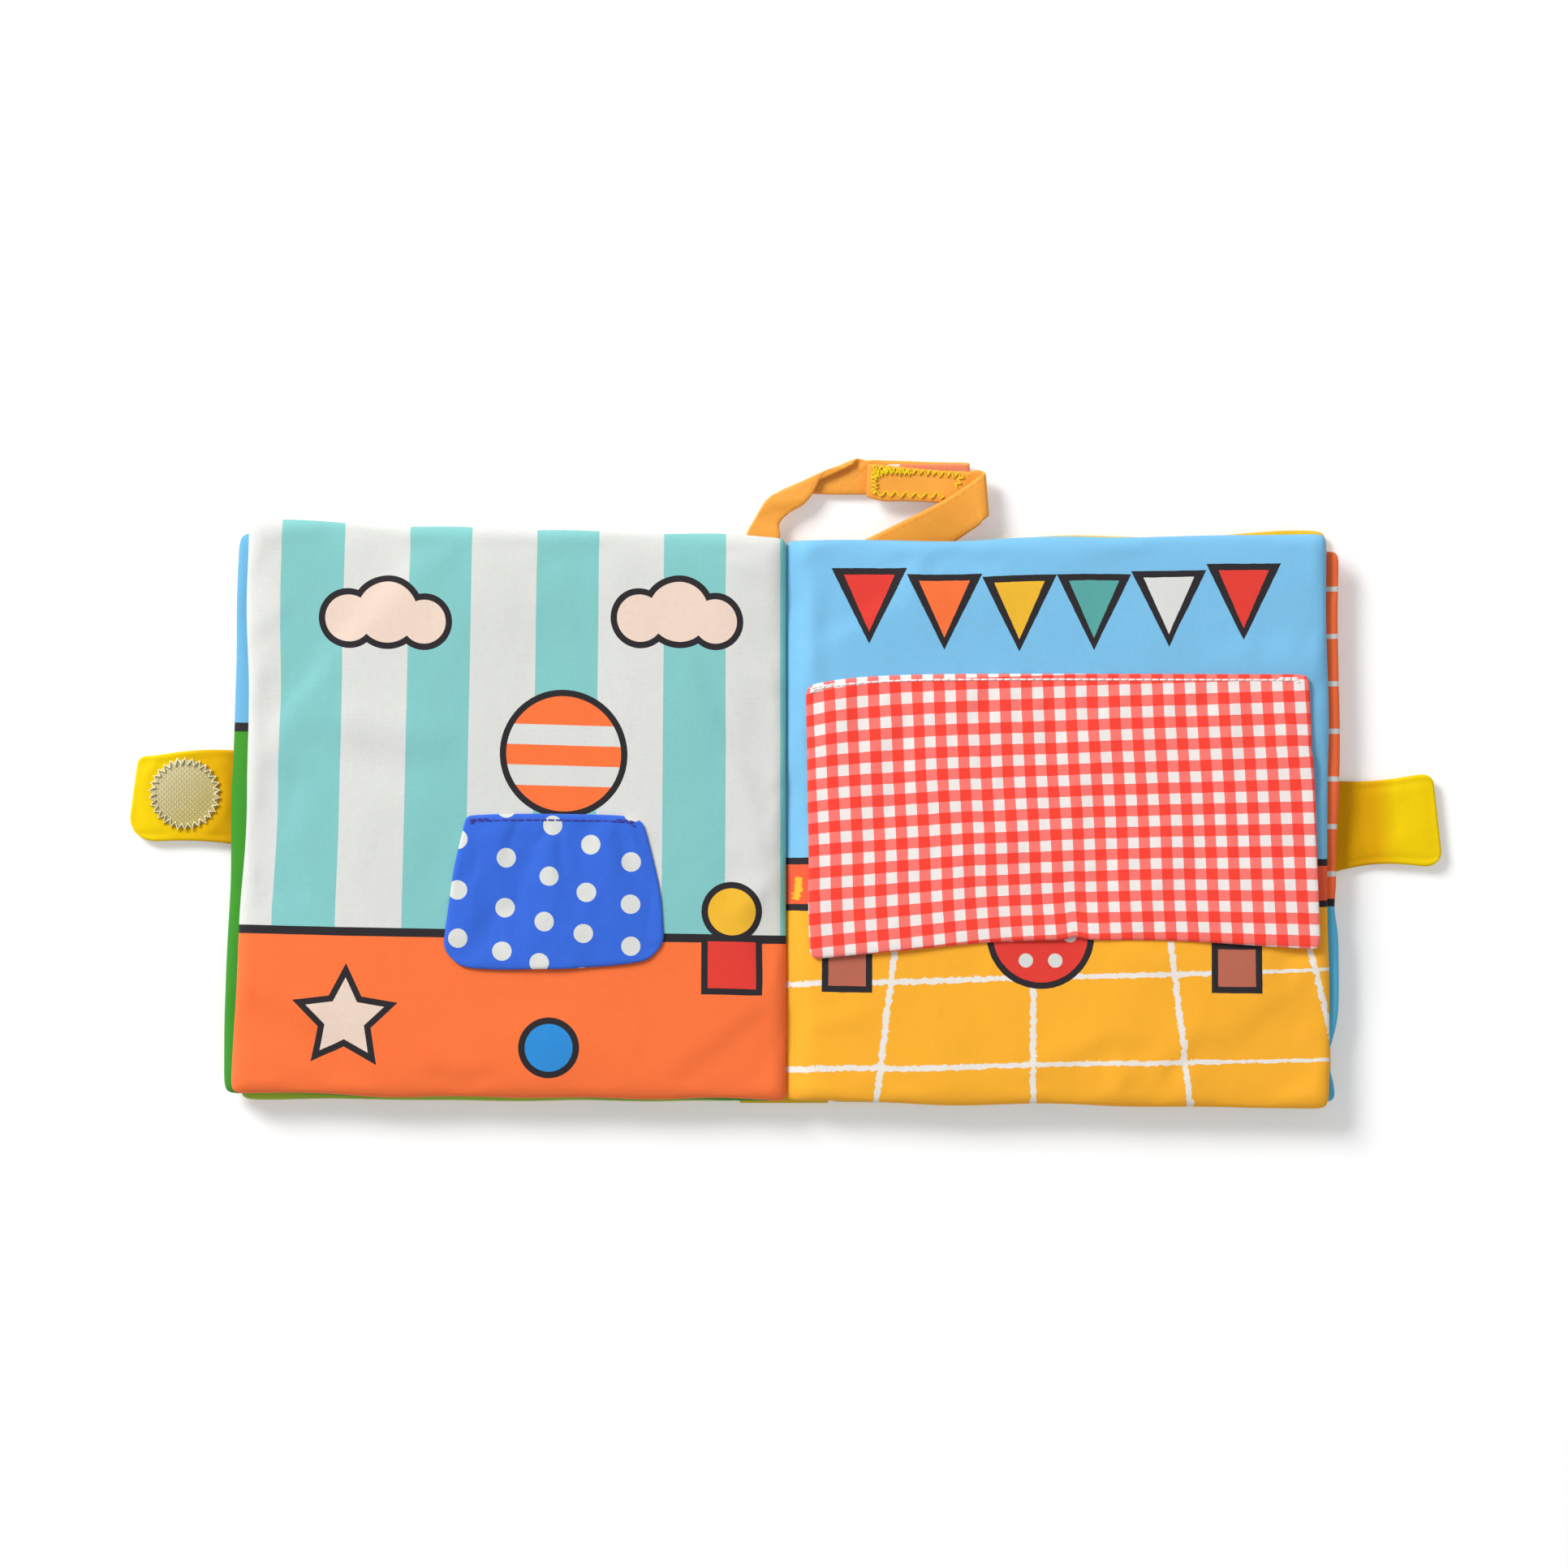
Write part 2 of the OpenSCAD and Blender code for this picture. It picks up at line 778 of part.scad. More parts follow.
module right_tab_sheet() {
    tab_sheet(right_tab_c, 3, [0.5, 0.4, 0.4, 0]);
}

module right_tab() {
    color(cover_yellow) right_tab_sheet();
}

module loop_patch() {
    color(patch_cream) round_patch(right_patch_p, tab_z - patch_t);
}

// Handle
// The left strap rises from its sewn root, turns back under itself and runs on to the right
module left_strap() {
    color(strap_orange)
        union() {
            strap_sheet(left_leg, [
                [head_y - 20, strap_z],
                [head_y + 1.1, strap_z],
                [head_y + 6.1, leg_z],
                [head_y + 40, leg_z]
            ]);
            strap_turn(turn_q, turn_p, handle_z, turn_ro);
            plate(left_end, handle_z, strap_t);
        }
}

// The right strap: a slanted run that climbs off the page edge, a round fold and the end piece beneath
module right_strap() {
    color(strap_orange)
        union() {
            strap_sheet(run_points(0), [
                [head_y - 40, strap_z],
                [head_y + 0.5, strap_z],
                [head_y + 6.3, run_z],
                [head_y + 40, run_z]
            ]);
            strap_turn(fold_p, fold_q, end_piece_z, fold_ro);
            plate(end_piece, end_piece_z, strap_t);
        }
}

module strap_patch(z) {
    translate([end_piece_x + 2, end_piece_y - 2.6, z])
        cube([25.5, 6.8, patch_t]);
}

module strap_loop_patch() {
    color(patch_cream) strap_patch(loop_pad_z);
}

module strap_hook_patch() {
    color(patch_cream) strap_patch(hook_pad_z);
}

module strap_thread() {
    x0 = end_piece_x + 2.6;
    x1 = end_piece_x + 28;
    y0 = end_piece_y - 4;
    y1 = end_piece_y + 3;
    color(cover_yellow) {
        plate(zigzag([x0, y0], [x1 - 4, y0], 12, 0.8, thread_w), end_piece_z + strap_t, thread_t);
        plate(zigzag([x0, y1 + 0.4], [x1, y1 - 0.6], 12, 0.8, thread_w), end_piece_z + strap_t, thread_t);
        plate(zigzag([x0, y0 + 1.6], [x0, y1 - 1], 3, 0.8, thread_w), end_piece_z + strap_t, thread_t);
        plate(zigzag([x1, y0 + 3.4], [x1, y1 - 2.2], 2, 0.8, thread_w), end_piece_z + strap_t, thread_t);
    }
}

// Gingham flap
check_cols = floor((check_flap_w + 3) / check_pitch);
check_rows = floor((check_flap_h - 2) / check_pitch);
check_x0 = check_left_x + 0.8;
check_y0 = check_c[0][1] + check_foot_bow + 2.1;

module check_flap() {
    color(cloth_white) {
        plate(check_outline(0.3), flap_z, flap_t * 0.25);
        plate(check_outline(0), flap_z + flap_t * 0.25, flap_t * 0.5);
        plate(check_outline(0.3), flap_z + flap_t * 0.75, flap_t * 0.25);
    }
}

module check_clip(z) {
    intersection() {
        plate(check_outline(0.4), z, print_t);
        children();
    }
}

module check_bands_down() {
    color(light_red)
        check_clip(flap_z + flap_t)
            union()
                for (i = [0:check_cols])
                    translate([check_x0 + i * check_pitch, check_y0 - 10, flap_z])
                        cube([check_pitch / 2, check_flap_h + 20, 4]);
}

module check_bands_across() {
    color(light_red)
        check_clip(flap_z + flap_t + print_t)
            union()
                for (j = [-1:check_rows + 1])
                    translate([check_left_x - 10, check_y0 + j * check_pitch, flap_z])
                        cube([check_flap_w + 20, check_pitch / 2, 4]);
}

module check_row(j) {
    for (i = [0:check_cols - 1])
        translate([check_x0 + i * check_pitch, check_y0 + j * check_pitch, flap_z + flap_t + 2 * print_t])
            cube([check_pitch / 2, check_pitch / 2, print_t]);
}

// The dark squares; the curved foot and head of the flap trim the first and last rows
module check_squares() {
    color(dark_red) {
        for (j = [0:check_rows - 1])
            check_row(j);
        check_clip(flap_z + flap_t + 2 * print_t) {
            check_row(-1);
            check_row(check_rows);
        }
    }
}

function check_head(u, drop) = let (p = lerp(check_c[3], check_c[2], u))
    [p[0], p[1] + check_head_bow * sin(180 * u) - drop];

module check_flap_thread() {
    u = [for (i = [0:8]) 0.03 + 0.94 * i / 8];
    color(cloth_white)
        plate(concat(
            [for (i = [0:8]) check_head(u[i], seam_in)],
            [for (i = [8:-1:0]) check_head(u[i], seam_in + thread_w)]
        ), flap_z + flap_t + 3 * print_t, print_t);
}

front_cover();
left_under_leaf();
left_under_sky();
left_under_line();
left_under_grass();
left_leaf();
left_stripes();
left_wall();
left_line();
left_floor();
left_ink();
left_peach();
left_orange();
left_white();
left_red();
left_blue();
left_yellow();
left_tab();
hook_patch();
hook_patch_thread();
dot_flap();
dots();
dot_flap_thread();
spine();
back_cover();
right_under_leaf();
right_under_tiles();
right_under_joints();
right_under_line();
right_under_pool();
right_leaf();
right_wall();
right_lines();
right_band();
right_floor();
right_tile_lines();
right_ink();
right_red();
right_orange();
right_yellow();
right_teal();
right_white();
right_brown();
right_tab();
loop_patch();
left_strap();
right_strap();
strap_loop_patch();
strap_hook_patch();
strap_thread();
check_flap();
check_bands_down();
check_bands_across();
check_squares();
check_flap_thread();
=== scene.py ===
"""Looks for a soft cloth book lying open: padded printed leaves, lift-up flaps, side tabs and a strap handle.

Every piece is built in metres in the part's own frame and stands for the plain solids that it replaces; all
pieces but the spine strip ride on a body of the part.
"""

import logging
import math
from dataclasses import dataclass, field
from enum import Enum
from typing import Callable, Iterable, Sequence

import bpy
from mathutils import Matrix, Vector, noise


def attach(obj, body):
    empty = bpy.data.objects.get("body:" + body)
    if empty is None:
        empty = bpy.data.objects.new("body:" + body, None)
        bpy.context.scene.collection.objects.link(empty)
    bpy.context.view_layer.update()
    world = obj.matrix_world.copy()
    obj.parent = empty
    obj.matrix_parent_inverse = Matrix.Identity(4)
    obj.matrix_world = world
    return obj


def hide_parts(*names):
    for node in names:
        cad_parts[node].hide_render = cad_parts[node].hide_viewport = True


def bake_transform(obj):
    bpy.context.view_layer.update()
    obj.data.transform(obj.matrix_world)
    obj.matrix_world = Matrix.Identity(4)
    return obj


for leftover in ("Cube", "Light", "Camera"):
    if leftover in bpy.data.objects:
        bpy.data.objects.remove(bpy.data.objects[leftover])

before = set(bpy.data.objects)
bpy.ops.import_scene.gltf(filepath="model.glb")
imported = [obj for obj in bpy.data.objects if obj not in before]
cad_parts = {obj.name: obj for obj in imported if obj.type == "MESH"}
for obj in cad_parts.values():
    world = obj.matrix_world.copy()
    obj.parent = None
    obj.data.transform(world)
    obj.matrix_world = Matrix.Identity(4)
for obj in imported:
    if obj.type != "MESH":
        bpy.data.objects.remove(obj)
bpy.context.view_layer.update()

MM = 0.001
STITCH_SEED = 7
LOG = logging.getLogger("cloth_book")
Point = tuple[float, float]
Colour = tuple[float, float, float]
Socket = bpy.types.NodeSocket


class Body(Enum):
    """The part's moving bodies, by name."""

    FRONT = "front_half"
    BACK = "back_half"
    DOT = "dot_flap"
    CHECK = "check_flap"


# Colours


def srgb(text: str) -> Colour:
    """Turn a hex colour as seen into linear light.

    Args:
        text: six hex digits.

    Returns:
        Linear red, green and blue.
    """
    parts = [int(text[i : i + 2], 16) / 255 for i in (0, 2, 4)]
    return tuple(c / 12.92 if c <= 0.04045 else ((c + 0.055) / 1.055) ** 2.4 for c in parts)


WHITE = srgb("dedfdb")
TEAL = srgb("85c9c7")
EDGE_TEAL = srgb("7fcfcb")
INK = srgb("2c282c")
FLOOR_ORANGE = srgb("ff773d")
SKY = srgb("6bb0d8")
GRASS = srgb("3e942a")
LIME = srgb("a6c436")
COVER_YELLOW = srgb("ecc404")
WALL_BLUE = srgb("7dc1ea")
FLOOR_YELLOW = srgb("ffb42f")
BAND_BROWN = srgb("f0603b")
POOL_BLUE = srgb("5cbce6")
TILE_ORANGE = srgb("ff7440")
FLAP_BLUE = srgb("3068dc")
CHECK_LIGHT = srgb("ff7a72")
CHECK_DARK = srgb("ff4030")
STRAP_ORANGE = srgb("fba83c")
PATCH_CREAM = srgb("bcab68")
TAB_YELLOW = srgb("f4d006")
# Amber tone laid on the tabs as painted shade.
TAB_PAINTED_SHADE = srgb("dda204")
PEACH = srgb("efd6c6")
CHALK = srgb("f1eae2")
TOY_RED = srgb("e63f35")
TOY_BLUE = srgb("2f8fdb")
TOY_YELLOW = srgb("f3bb33")
TOY_TEAL = srgb("5aa9a4")
TOY_BROWN = srgb("bd6a54")


# The book's own sizes


@dataclass(frozen=True)
class BookSizes:
    """The named sizes of the part, in millimetres, as its source gives them."""

    page_w: float = 160.5
    page_h: float = 166.8
    leaf_t: float = 3.6
    gutter_gap: float = 0.3
    fore_slant: float = 5.5
    head_rise: float = 5.6
    foot_drop: float = 2.4
    under_show: float = 3.2
    spine_w: float = 26.0
    strap_reach: float = 23.4
    strap_t: float = 1.2
    handle_z: float = 1.2
    flap_lift: float = 0.6
    flap_t: float = 1.6

    @property
    def foot_y(self) -> float:
        """Y of the pages' foot at the gutter."""
        return -(self.page_h + self.foot_drop + self.strap_reach) / 2 + self.foot_drop

    @property
    def head_y(self) -> float:
        """Y of the pages' head at the gutter."""
        return self.foot_y + self.page_h

    @property
    def page_z(self) -> float:
        """Height of the open pages."""
        return 3 * self.leaf_t

    @property
    def flap_z(self) -> float:
        """Height of the flaps' undersides."""
        return self.page_z + self.flap_lift


BOOK = BookSizes()


@dataclass(frozen=True)
class Quad:
    """Four corners of a sheet: gutter foot, fore foot, fore head and gutter head, in millimetres."""

    foot_in: Point
    foot_out: Point
    head_out: Point
    head_in: Point

    def at(self, u: float, v: float) -> Point:
        """Find a point of the sheet.

        Args:
            u: share of the way from the gutter to the fore edge.
            v: share of the way from foot to head.

        Returns:
            X and Y in millimetres.
        """
        low = [a + (b - a) * u for a, b in zip(self.foot_in, self.foot_out)]
        top = [a + (b - a) * u for a, b in zip(self.head_in, self.head_out)]
        return tuple(a + (b - a) * v for a, b in zip(low, top))

    @property
    def width(self) -> float:
        """Mean width."""
        return (abs(self.foot_out[0] - self.foot_in[0]) + abs(self.head_out[0] - self.head_in[0])) / 2

    @property
    def height(self) -> float:
        """Mean height."""
        return (self.head_in[1] - self.foot_in[1] + self.head_out[1] - self.foot_out[1]) / 2


FOOT, HEAD, W = BOOK.foot_y, BOOK.head_y, BOOK.page_w
SLANT = BOOK.fore_slant / 2
LEFT_PAGE = Quad((0.7, FOOT), (-W - SLANT, FOOT + 2.4), (-W + SLANT, HEAD + BOOK.head_rise), (0.7, HEAD))
LEFT_UNDER = Quad(
    (-BOOK.gutter_gap, FOOT),
    (-W - SLANT - BOOK.under_show, FOOT + 2),
    (-W + SLANT - BOOK.under_show - 0.7, HEAD + BOOK.head_rise - 4),
    (-BOOK.gutter_gap, HEAD - 0.6),
)
RIGHT_PAGE = Quad(
    (BOOK.gutter_gap, FOOT),
    (W + 0.5, FOOT - BOOK.foot_drop),
    (W + 0.5, HEAD + 1.2),
    (BOOK.gutter_gap, HEAD - 1),
)
RIGHT_UNDER = Quad(
    (BOOK.gutter_gap, FOOT + 0.5),
    (W + 0.5 + BOOK.under_show, FOOT - 0.2),
    (W + 0.5 + BOOK.under_show, HEAD - 3.5),
    (BOOK.gutter_gap, HEAD - 2),
)
DOT_MID, DOT_TOP = -W * 0.422, FOOT + BOOK.page_h * 0.51
CHECK_LEFT, CHECK_TOP = W * 0.04, FOOT + BOOK.page_h * 0.762
HALF_SPINE = BOOK.spine_w / 2
FRONT_COVER = Quad(
    (-HALF_SPINE, FOOT - 0.6), (-W - 1.2, FOOT + 0.4), (-W - 0.2, HEAD + 2.4), (-HALF_SPINE, HEAD - 1)
)
BACK_COVER = Quad((HALF_SPINE, FOOT - 0.6), (W + 1.8, FOOT - 1.2), (W + 1.2, HEAD + 2), (HALF_SPINE, HEAD - 1.4))


# Mesh helpers


def deselect() -> None:
    """Deselect every object."""
    bpy.ops.object.select_all(action="DESELECT")


def activate(obj: bpy.types.Object) -> bpy.types.Object:
    """Select one object alone and make it the active one.

    Args:
        obj: the object.

    Returns:
        The same object.
    """
    deselect()
    obj.select_set(True)
    bpy.context.view_layer.objects.active = obj
    return obj


def new_grid(name: str, columns: int, rows: int) -> bpy.types.Object:
    """Add a flat grid from 0 to 1 in X and Y, with a UV map that holds the same numbers.

    Args:
        name: the piece's name.
        columns: faces along X.
        rows: faces along Y.

    Returns:
        The new grid.
    """
    deselect()
    bpy.ops.mesh.primitive_grid_add(x_subdivisions=columns, y_subdivisions=rows, size=1, location=(0, 0, 0))
    obj = bpy.context.active_object
    obj.name = obj.data.name = name
    layer = obj.data.uv_layers.active or obj.data.uv_layers.new(name="cloth")
    layer.name = "cloth"
    for vertex in obj.data.vertices:
        vertex.co.x += 0.5
        vertex.co.y += 0.5
    for loop in obj.data.loops:
        co = obj.data.vertices[loop.vertex_index].co
        layer.data[loop.index].uv = (co.x, co.y)
    return obj


def reshape(obj: bpy.types.Object, place: Callable[[Vector], Sequence[float]]) -> None:
    """Move every vertex to a new place given in millimetres.

    Args:
        obj: the piece.
        place: gives the new place of a vertex from its old one.
    """
    for vertex in obj.data.vertices:
        vertex.co = Vector(place(vertex.co)) * MM


def scale_uv(obj: bpy.types.Object, width: float, height: float) -> None:
    """Give the piece's UV map the cloth's own millimetres.

    Args:
        obj: the piece.
        width: width of the cloth.
        height: height of the cloth.
    """
    for item in obj.data.uv_layers["cloth"].data:
        item.uv = (item.uv[0] * width, item.uv[1] * height)


def uv_from_place(obj: bpy.types.Object) -> None:
    """Give a piece a UV map that holds the X and Y of each point in millimetres."""
    layer = obj.data.uv_layers.active or obj.data.uv_layers.new(name="cloth")
    layer.name = "cloth"
    for loop in obj.data.loops:
        co = obj.data.vertices[loop.vertex_index].co
        layer.data[loop.index].uv = (co.x / MM, co.y / MM)


def apply_modifier(obj: bpy.types.Object, kind: str, **values: object) -> None:
    """Add a modifier with some values and apply it.

    Args:
        obj: the piece.
        kind: Blender's name for the modifier.
        values: settings of the modifier.
    """
    activate(obj)
    modifier = obj.modifiers.new(kind.lower(), kind)
    for key, value in values.items():
        setattr(modifier, key, value)
    bpy.ops.object.modifier_apply(modifier=modifier.name)


def smooth_out(obj: bpy.types.Object) -> None:
    """Point a closed piece's faces outwards and shade it smooth."""
    activate(obj)
    bpy.ops.object.mode_set(mode="EDIT")
    bpy.ops.mesh.select_all(action="SELECT")
    bpy.ops.mesh.normals_make_consistent(inside=False)
    bpy.ops.object.mode_set(mode="OBJECT")
    bpy.ops.object.shade_smooth()


def thicken(obj: bpy.types.Object, thickness: float, levels: int = 1) -> None:
    """Give a sheet its thickness about its middle and round its edges.

    Args:
        obj: the sheet.
        thickness: its thickness in millimetres.
        levels: levels of subdivision.
    """
    apply_modifier(obj, "SOLIDIFY", thickness=thickness * MM, offset=0, use_even_offset=False)
    smooth_out(obj)
    if levels:
        apply_modifier(obj, "SUBSURF", levels=levels, render_levels=levels)


def round_corner(x: float, y: float, w: float, h: float, r: float) -> Point:
    """Pull a rectangle's corners in to quarter circles.

    Args:
        x: distance from the left side.
        y: distance from the foot.
        w: the rectangle's width.
        h: the rectangle's height.
        r: corner radius.

    Returns:
        The new X and Y.
    """
    sx, sy = math.copysign(1, x - w / 2), math.copysign(1, y - h / 2)
    dx, dy = abs(x - w / 2) - (w / 2 - r), abs(y - h / 2) - (h / 2 - r)
    if dx > 0 and dy > 0:
        dx, dy = dx * math.sqrt(1 - dy * dy / (2 * r * r)), dy * math.sqrt(1 - dx * dx / (2 * r * r))
    return w / 2 + sx * (w / 2 - r + dx), h / 2 + sy * (h / 2 - r + dy)


def ease(t: float) -> float:
    """Smooth step from 0 to 1."""
    t = min(max(t, 0.0), 1.0)
    return t * t * (3 - 2 * t)


def finish_piece(
    obj: bpy.types.Object,
    body: Body,
    replaces: Sequence[str] = (),
) -> bpy.types.Object:
    """Make a piece ride on its body and stand for its solids.

    Args:
        obj: the piece.
        body: the body that it moves with.
        replaces: the part's nodes that it stands for.

    Returns:
        The same piece.
    """
    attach(obj, body.value)
    if replaces:
        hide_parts(*replaces)
    LOG.info("%s: %d faces on %s", obj.name, len(obj.data.polygons), body.value)
    return obj


CLOTH_SETTINGS = {
    "quality": 4,
    "mass": 0.15,
    "tension_stiffness": 12,
    "compression_stiffness": 12,
    "shear_stiffness": 6,
    "bending_stiffness": 0.3,
    "use_pressure": True,
    "vertex_group_mass": "seam",
}
CLOTH_FRAMES = 20


def puff(
    obj: bpy.types.Object, pressure: float, cap: float, held: Callable[[Vector], bool], slack: float = 0.03
) -> None:
    """Blow a closed cloth piece up a little with a cloth simulation and keep the result.

    Args:
        obj: the closed piece.
        pressure: air pressure inside.
        cap: the furthest that a point may move, in millimetres.
        held: says which vertices the seams hold still.
        slack: share by which the cloth is larger than its shape.
    """
    scene = bpy.context.scene
    activate(obj)
    group = obj.vertex_groups.new(name="seam")
    group.add([v.index for v in obj.data.vertices if held(v.co)], 1.0, "REPLACE")
    rest = [v.co.copy() for v in obj.data.vertices]
    cloth = obj.modifiers.new("cloth", "CLOTH")
    for key, value in CLOTH_SETTINGS.items():
        setattr(cloth.settings, key, value)
    cloth.settings.uniform_pressure_force = pressure
    cloth.settings.shrink_min = -slack
    cloth.settings.effector_weights.gravity = 0
    cloth.collision_settings.use_collision = False
    cloth.point_cache.frame_start, cloth.point_cache.frame_end = 1, CLOTH_FRAMES
    for number in range(1, CLOTH_FRAMES + 1):
        scene.frame_set(number)
    evaluated = obj.evaluated_get(bpy.context.evaluated_depsgraph_get())
    moved = [v.co.copy() for v in evaluated.data.vertices]
    obj.modifiers.remove(cloth)
    obj.vertex_groups.remove(group)
    for vertex, old, new in zip(obj.data.vertices, rest, moved):
        step = new - old
        length = step.length
        if length > 1e-9:
            vertex.co = old + step * (cap * MM * math.tanh(length / (cap * MM)) / length)
    scene.frame_set(1)


@dataclass(frozen=True)
class Crease:
    """A soft fold pressed into or raised from a page, in millimetres of the page's own cloth."""

    start: Point
    end: Point
    width: float
    height: float

    def lift(self, x: float, y: float) -> float:
        """How far the fold lifts the cloth at a point.

        Args:
            x: distance from the gutter.
            y: distance from the foot.

        Returns:
            The lift in millimetres.
        """
        a, b = Vector(self.start), Vector(self.end)
        d = b - a
        t = (Vector((x, y)) - a).dot(d) / d.length_squared
        across = (Vector((x, y)) - a - d * t).length / self.width
        along = ease(4 * t) * ease(4 * (1 - t)) if 0 < t < 1 else 0.0
        return self.height * along * math.exp(-across * across)


# Shader helpers


class Graph:
    """A short way to write a node tree."""

    def __init__(self, tree: bpy.types.NodeTree) -> None:
        """Keep the tree to write in."""
        self.tree = tree

    def node(self, kind: str, **values: object) -> bpy.types.Node:
        """Add a node.

        Args:
            kind: its type, without the leading ShaderNode.
            values: its own settings.

        Returns:
            The node.
        """
        made = self.tree.nodes.new("ShaderNode" + kind)
        for key, value in values.items():
            setattr(made, key, value)
        return made

    def put(self, socket: Socket, value: object) -> None:
        """Link a socket, or set its value."""
        if isinstance(value, bpy.types.NodeSocket):
            self.tree.links.new(value, socket)
        elif isinstance(value, tuple) and socket.type == "RGBA":
            socket.default_value = (*value, 1.0)
        else:
            socket.default_value = value

    def math(self, operation: str, *values: object, clamp: bool = False) -> Socket:
        """Add a Math node.

        Args:
            operation: its operation.
            values: a socket or number for each input.
            clamp: whether to hold the result between 0 and 1.

        Returns:
            Its result.
        """
        made = self.node("Math", operation=operation, use_clamp=clamp)
        for socket, value in zip(made.inputs, values):
            self.put(socket, value)
        return made.outputs[0]

    def add(self, *values: object) -> Socket:
        """Add two values."""
        return self.math("ADD", *values)

    def sub(self, *values: object) -> Socket:
        """Take the second value from the first."""
        return self.math("SUBTRACT", *values)

    def mul(self, *values: object, clamp: bool = False) -> Socket:
        """Multiply two values."""
        return self.math("MULTIPLY", *values, clamp=clamp)

    def less(self, *values: object) -> Socket:
        """Mask of where the first value is under the second."""
        return self.math("LESS_THAN", *values)

    def noise(self, place: Socket, scale: object, detail: float, **more: float) -> bpy.types.Node:
        """Add a noise texture.

        Args:
            place: the place to look it up at.
            scale: its scale, a number or a socket.
            detail: its detail.
            more: values of further inputs, by name.

        Returns:
            The node.
        """
        made = self.node("TexNoise", noise_dimensions="3D")
        for key, value in {"Vector": place, "Scale": scale, "Detail": detail, **more}.items():
            self.put(made.inputs[key], value)
        return made

    def bump(self, strength: float, depth: float, height: Socket) -> bpy.types.Node:
        """Add a bump whose depth is in metres."""
        made = self.node("Bump")
        for key, value in {"Strength": strength, "Distance": depth, "Height": height}.items():
            self.put(made.inputs[key], value)
        return made

    def mix(self, mask: object, under: object, over: object) -> Socket:
        """Lay one colour over another.

        Args:
            mask: how much of the upper one shows.
            under: the lower colour.
            over: the upper colour.

        Returns:
            The mixed colour.
        """
        made = self.node("Mix", data_type="RGBA")
        self.put(made.inputs[0], mask)
        self.put(made.inputs[6], under)
        self.put(made.inputs[7], over)
        return made.outputs[2]

    def group(self, tree: bpy.types.NodeTree, **values: object) -> bpy.types.Node:
        """Place a node group and give it its values."""
        made = self.node("Group")
        made.node_tree = tree
        for key, value in values.items():
            self.put(made.inputs[key.replace("_", " ")], value)
        return made


GroupMaker = Callable[[Graph, bpy.types.Node], dict[str, Socket]]
_groups: dict[str, bpy.types.NodeTree] = {}


def effect(
    name: str, inputs: dict[str, float | str], outputs: Sequence[str], make: GroupMaker
) -> bpy.types.NodeTree:
    """Build a shared effect once as a node group.

    Args:
        name: the group's name.
        inputs: each input's name and value, or the word vector.
        outputs: the names of its value outputs.
        make: draws the group and gives the socket for each output.

    Returns:
        The group.
    """
    if name in _groups:
        return _groups[name]
    tree = bpy.data.node_groups.new(name, "ShaderNodeTree")
    for key, value in inputs.items():
        kind = "NodeSocketVector" if value == "vector" else "NodeSocketFloat"
        made = tree.interface.new_socket(name=key, in_out="INPUT", socket_type=kind)
        if kind == "NodeSocketFloat":
            made.default_value = value
    for key in outputs:
        tree.interface.new_socket(name=key, in_out="OUTPUT", socket_type="NodeSocketFloat")
    start, end = tree.nodes.new("NodeGroupInput"), tree.nodes.new("NodeGroupOutput")
    graph = Graph(tree)
    for key, socket in make(graph, start).items():
        graph.put(end.inputs[key], socket)
    _groups[name] = tree
    return tree


def weave_effect() -> bpy.types.NodeTree:
    """Plain weave with slubs, as a shade about 1, a slow drift from 0 to 1 and a height for a bump."""

    def make(g: Graph, start: bpy.types.Node) -> dict[str, Socket]:
        split = g.node("SeparateXYZ")
        g.put(split.inputs[0], start.outputs["Place"])
        turn = g.math("DIVIDE", 2 * math.pi, start.outputs["Pitch"])
        warp = g.math("SINE", g.mul(split.outputs[0], turn))
        weft = g.math("SINE", g.mul(split.outputs[1], turn))
        cross = g.mul(warp, weft)
        slubs = []
        for stretch in ((0.16, 1.5, 1.0), (1.5, 0.16, 1.0)):
            lay = g.node("Mapping")
            g.put(lay.inputs["Vector"], start.outputs["Place"])
            lay.inputs["Scale"].default_value = stretch
            slubs.append(g.noise(lay.outputs[0], 1.0, 2.0).outputs[0])
        slub = g.sub(g.add(*slubs), 1.0)
        grain = g.noise(start.outputs["Place"], 0.9, 4.0).outputs[0]
        drift = g.noise(start.outputs["Place"], 0.035, 2.0).outputs[0]
        fine = g.mul(g.sub(grain, 0.5), start.outputs["Grain"])
        wide = g.mul(g.sub(drift, 0.5), start.outputs["Drift"])
        knit = g.mul(g.add(cross, g.mul(slub, 0.9)), start.outputs["Knit"])
        shade = g.add(1.0, g.add(g.add(fine, wide), knit))
        height = g.add(g.mul(cross, 0.6), g.add(g.mul(slub, 0.3), grain))
        ramp = g.mul(g.sub(drift, 0.35), 3.3, clamp=True)
        return {"Shade": shade, "Height": height, "Drift": ramp}

    values = {"Place": "vector", "Pitch": 0.7, "Grain": 0.1, "Drift": 0.06, "Knit": 0.04}
    return effect("plain_weave", values, ("Shade", "Height", "Drift"), make)


def wrinkle_effect() -> bpy.types.NodeTree:
    """Soft crumple of thin cloth, as a height for a bump."""

    def make(g: Graph, start: bpy.types.Node) -> dict[str, Socket]:
        stretch = g.node("Mapping")
        g.put(stretch.inputs["Vector"], start.outputs["Place"])
        stretch.inputs["Rotation"].default_value = (0, 0, 0.5)
        stretch.inputs["Scale"].default_value = (1.0, 0.45, 1.0)
        return {"Height": g.noise(stretch.outputs[0], start.outputs["Scale"], 3.0, Distortion=0.8).outputs[0]}

    return effect("soft_wrinkles", {"Place": "vector", "Scale": 0.06}, ("Height",), make)


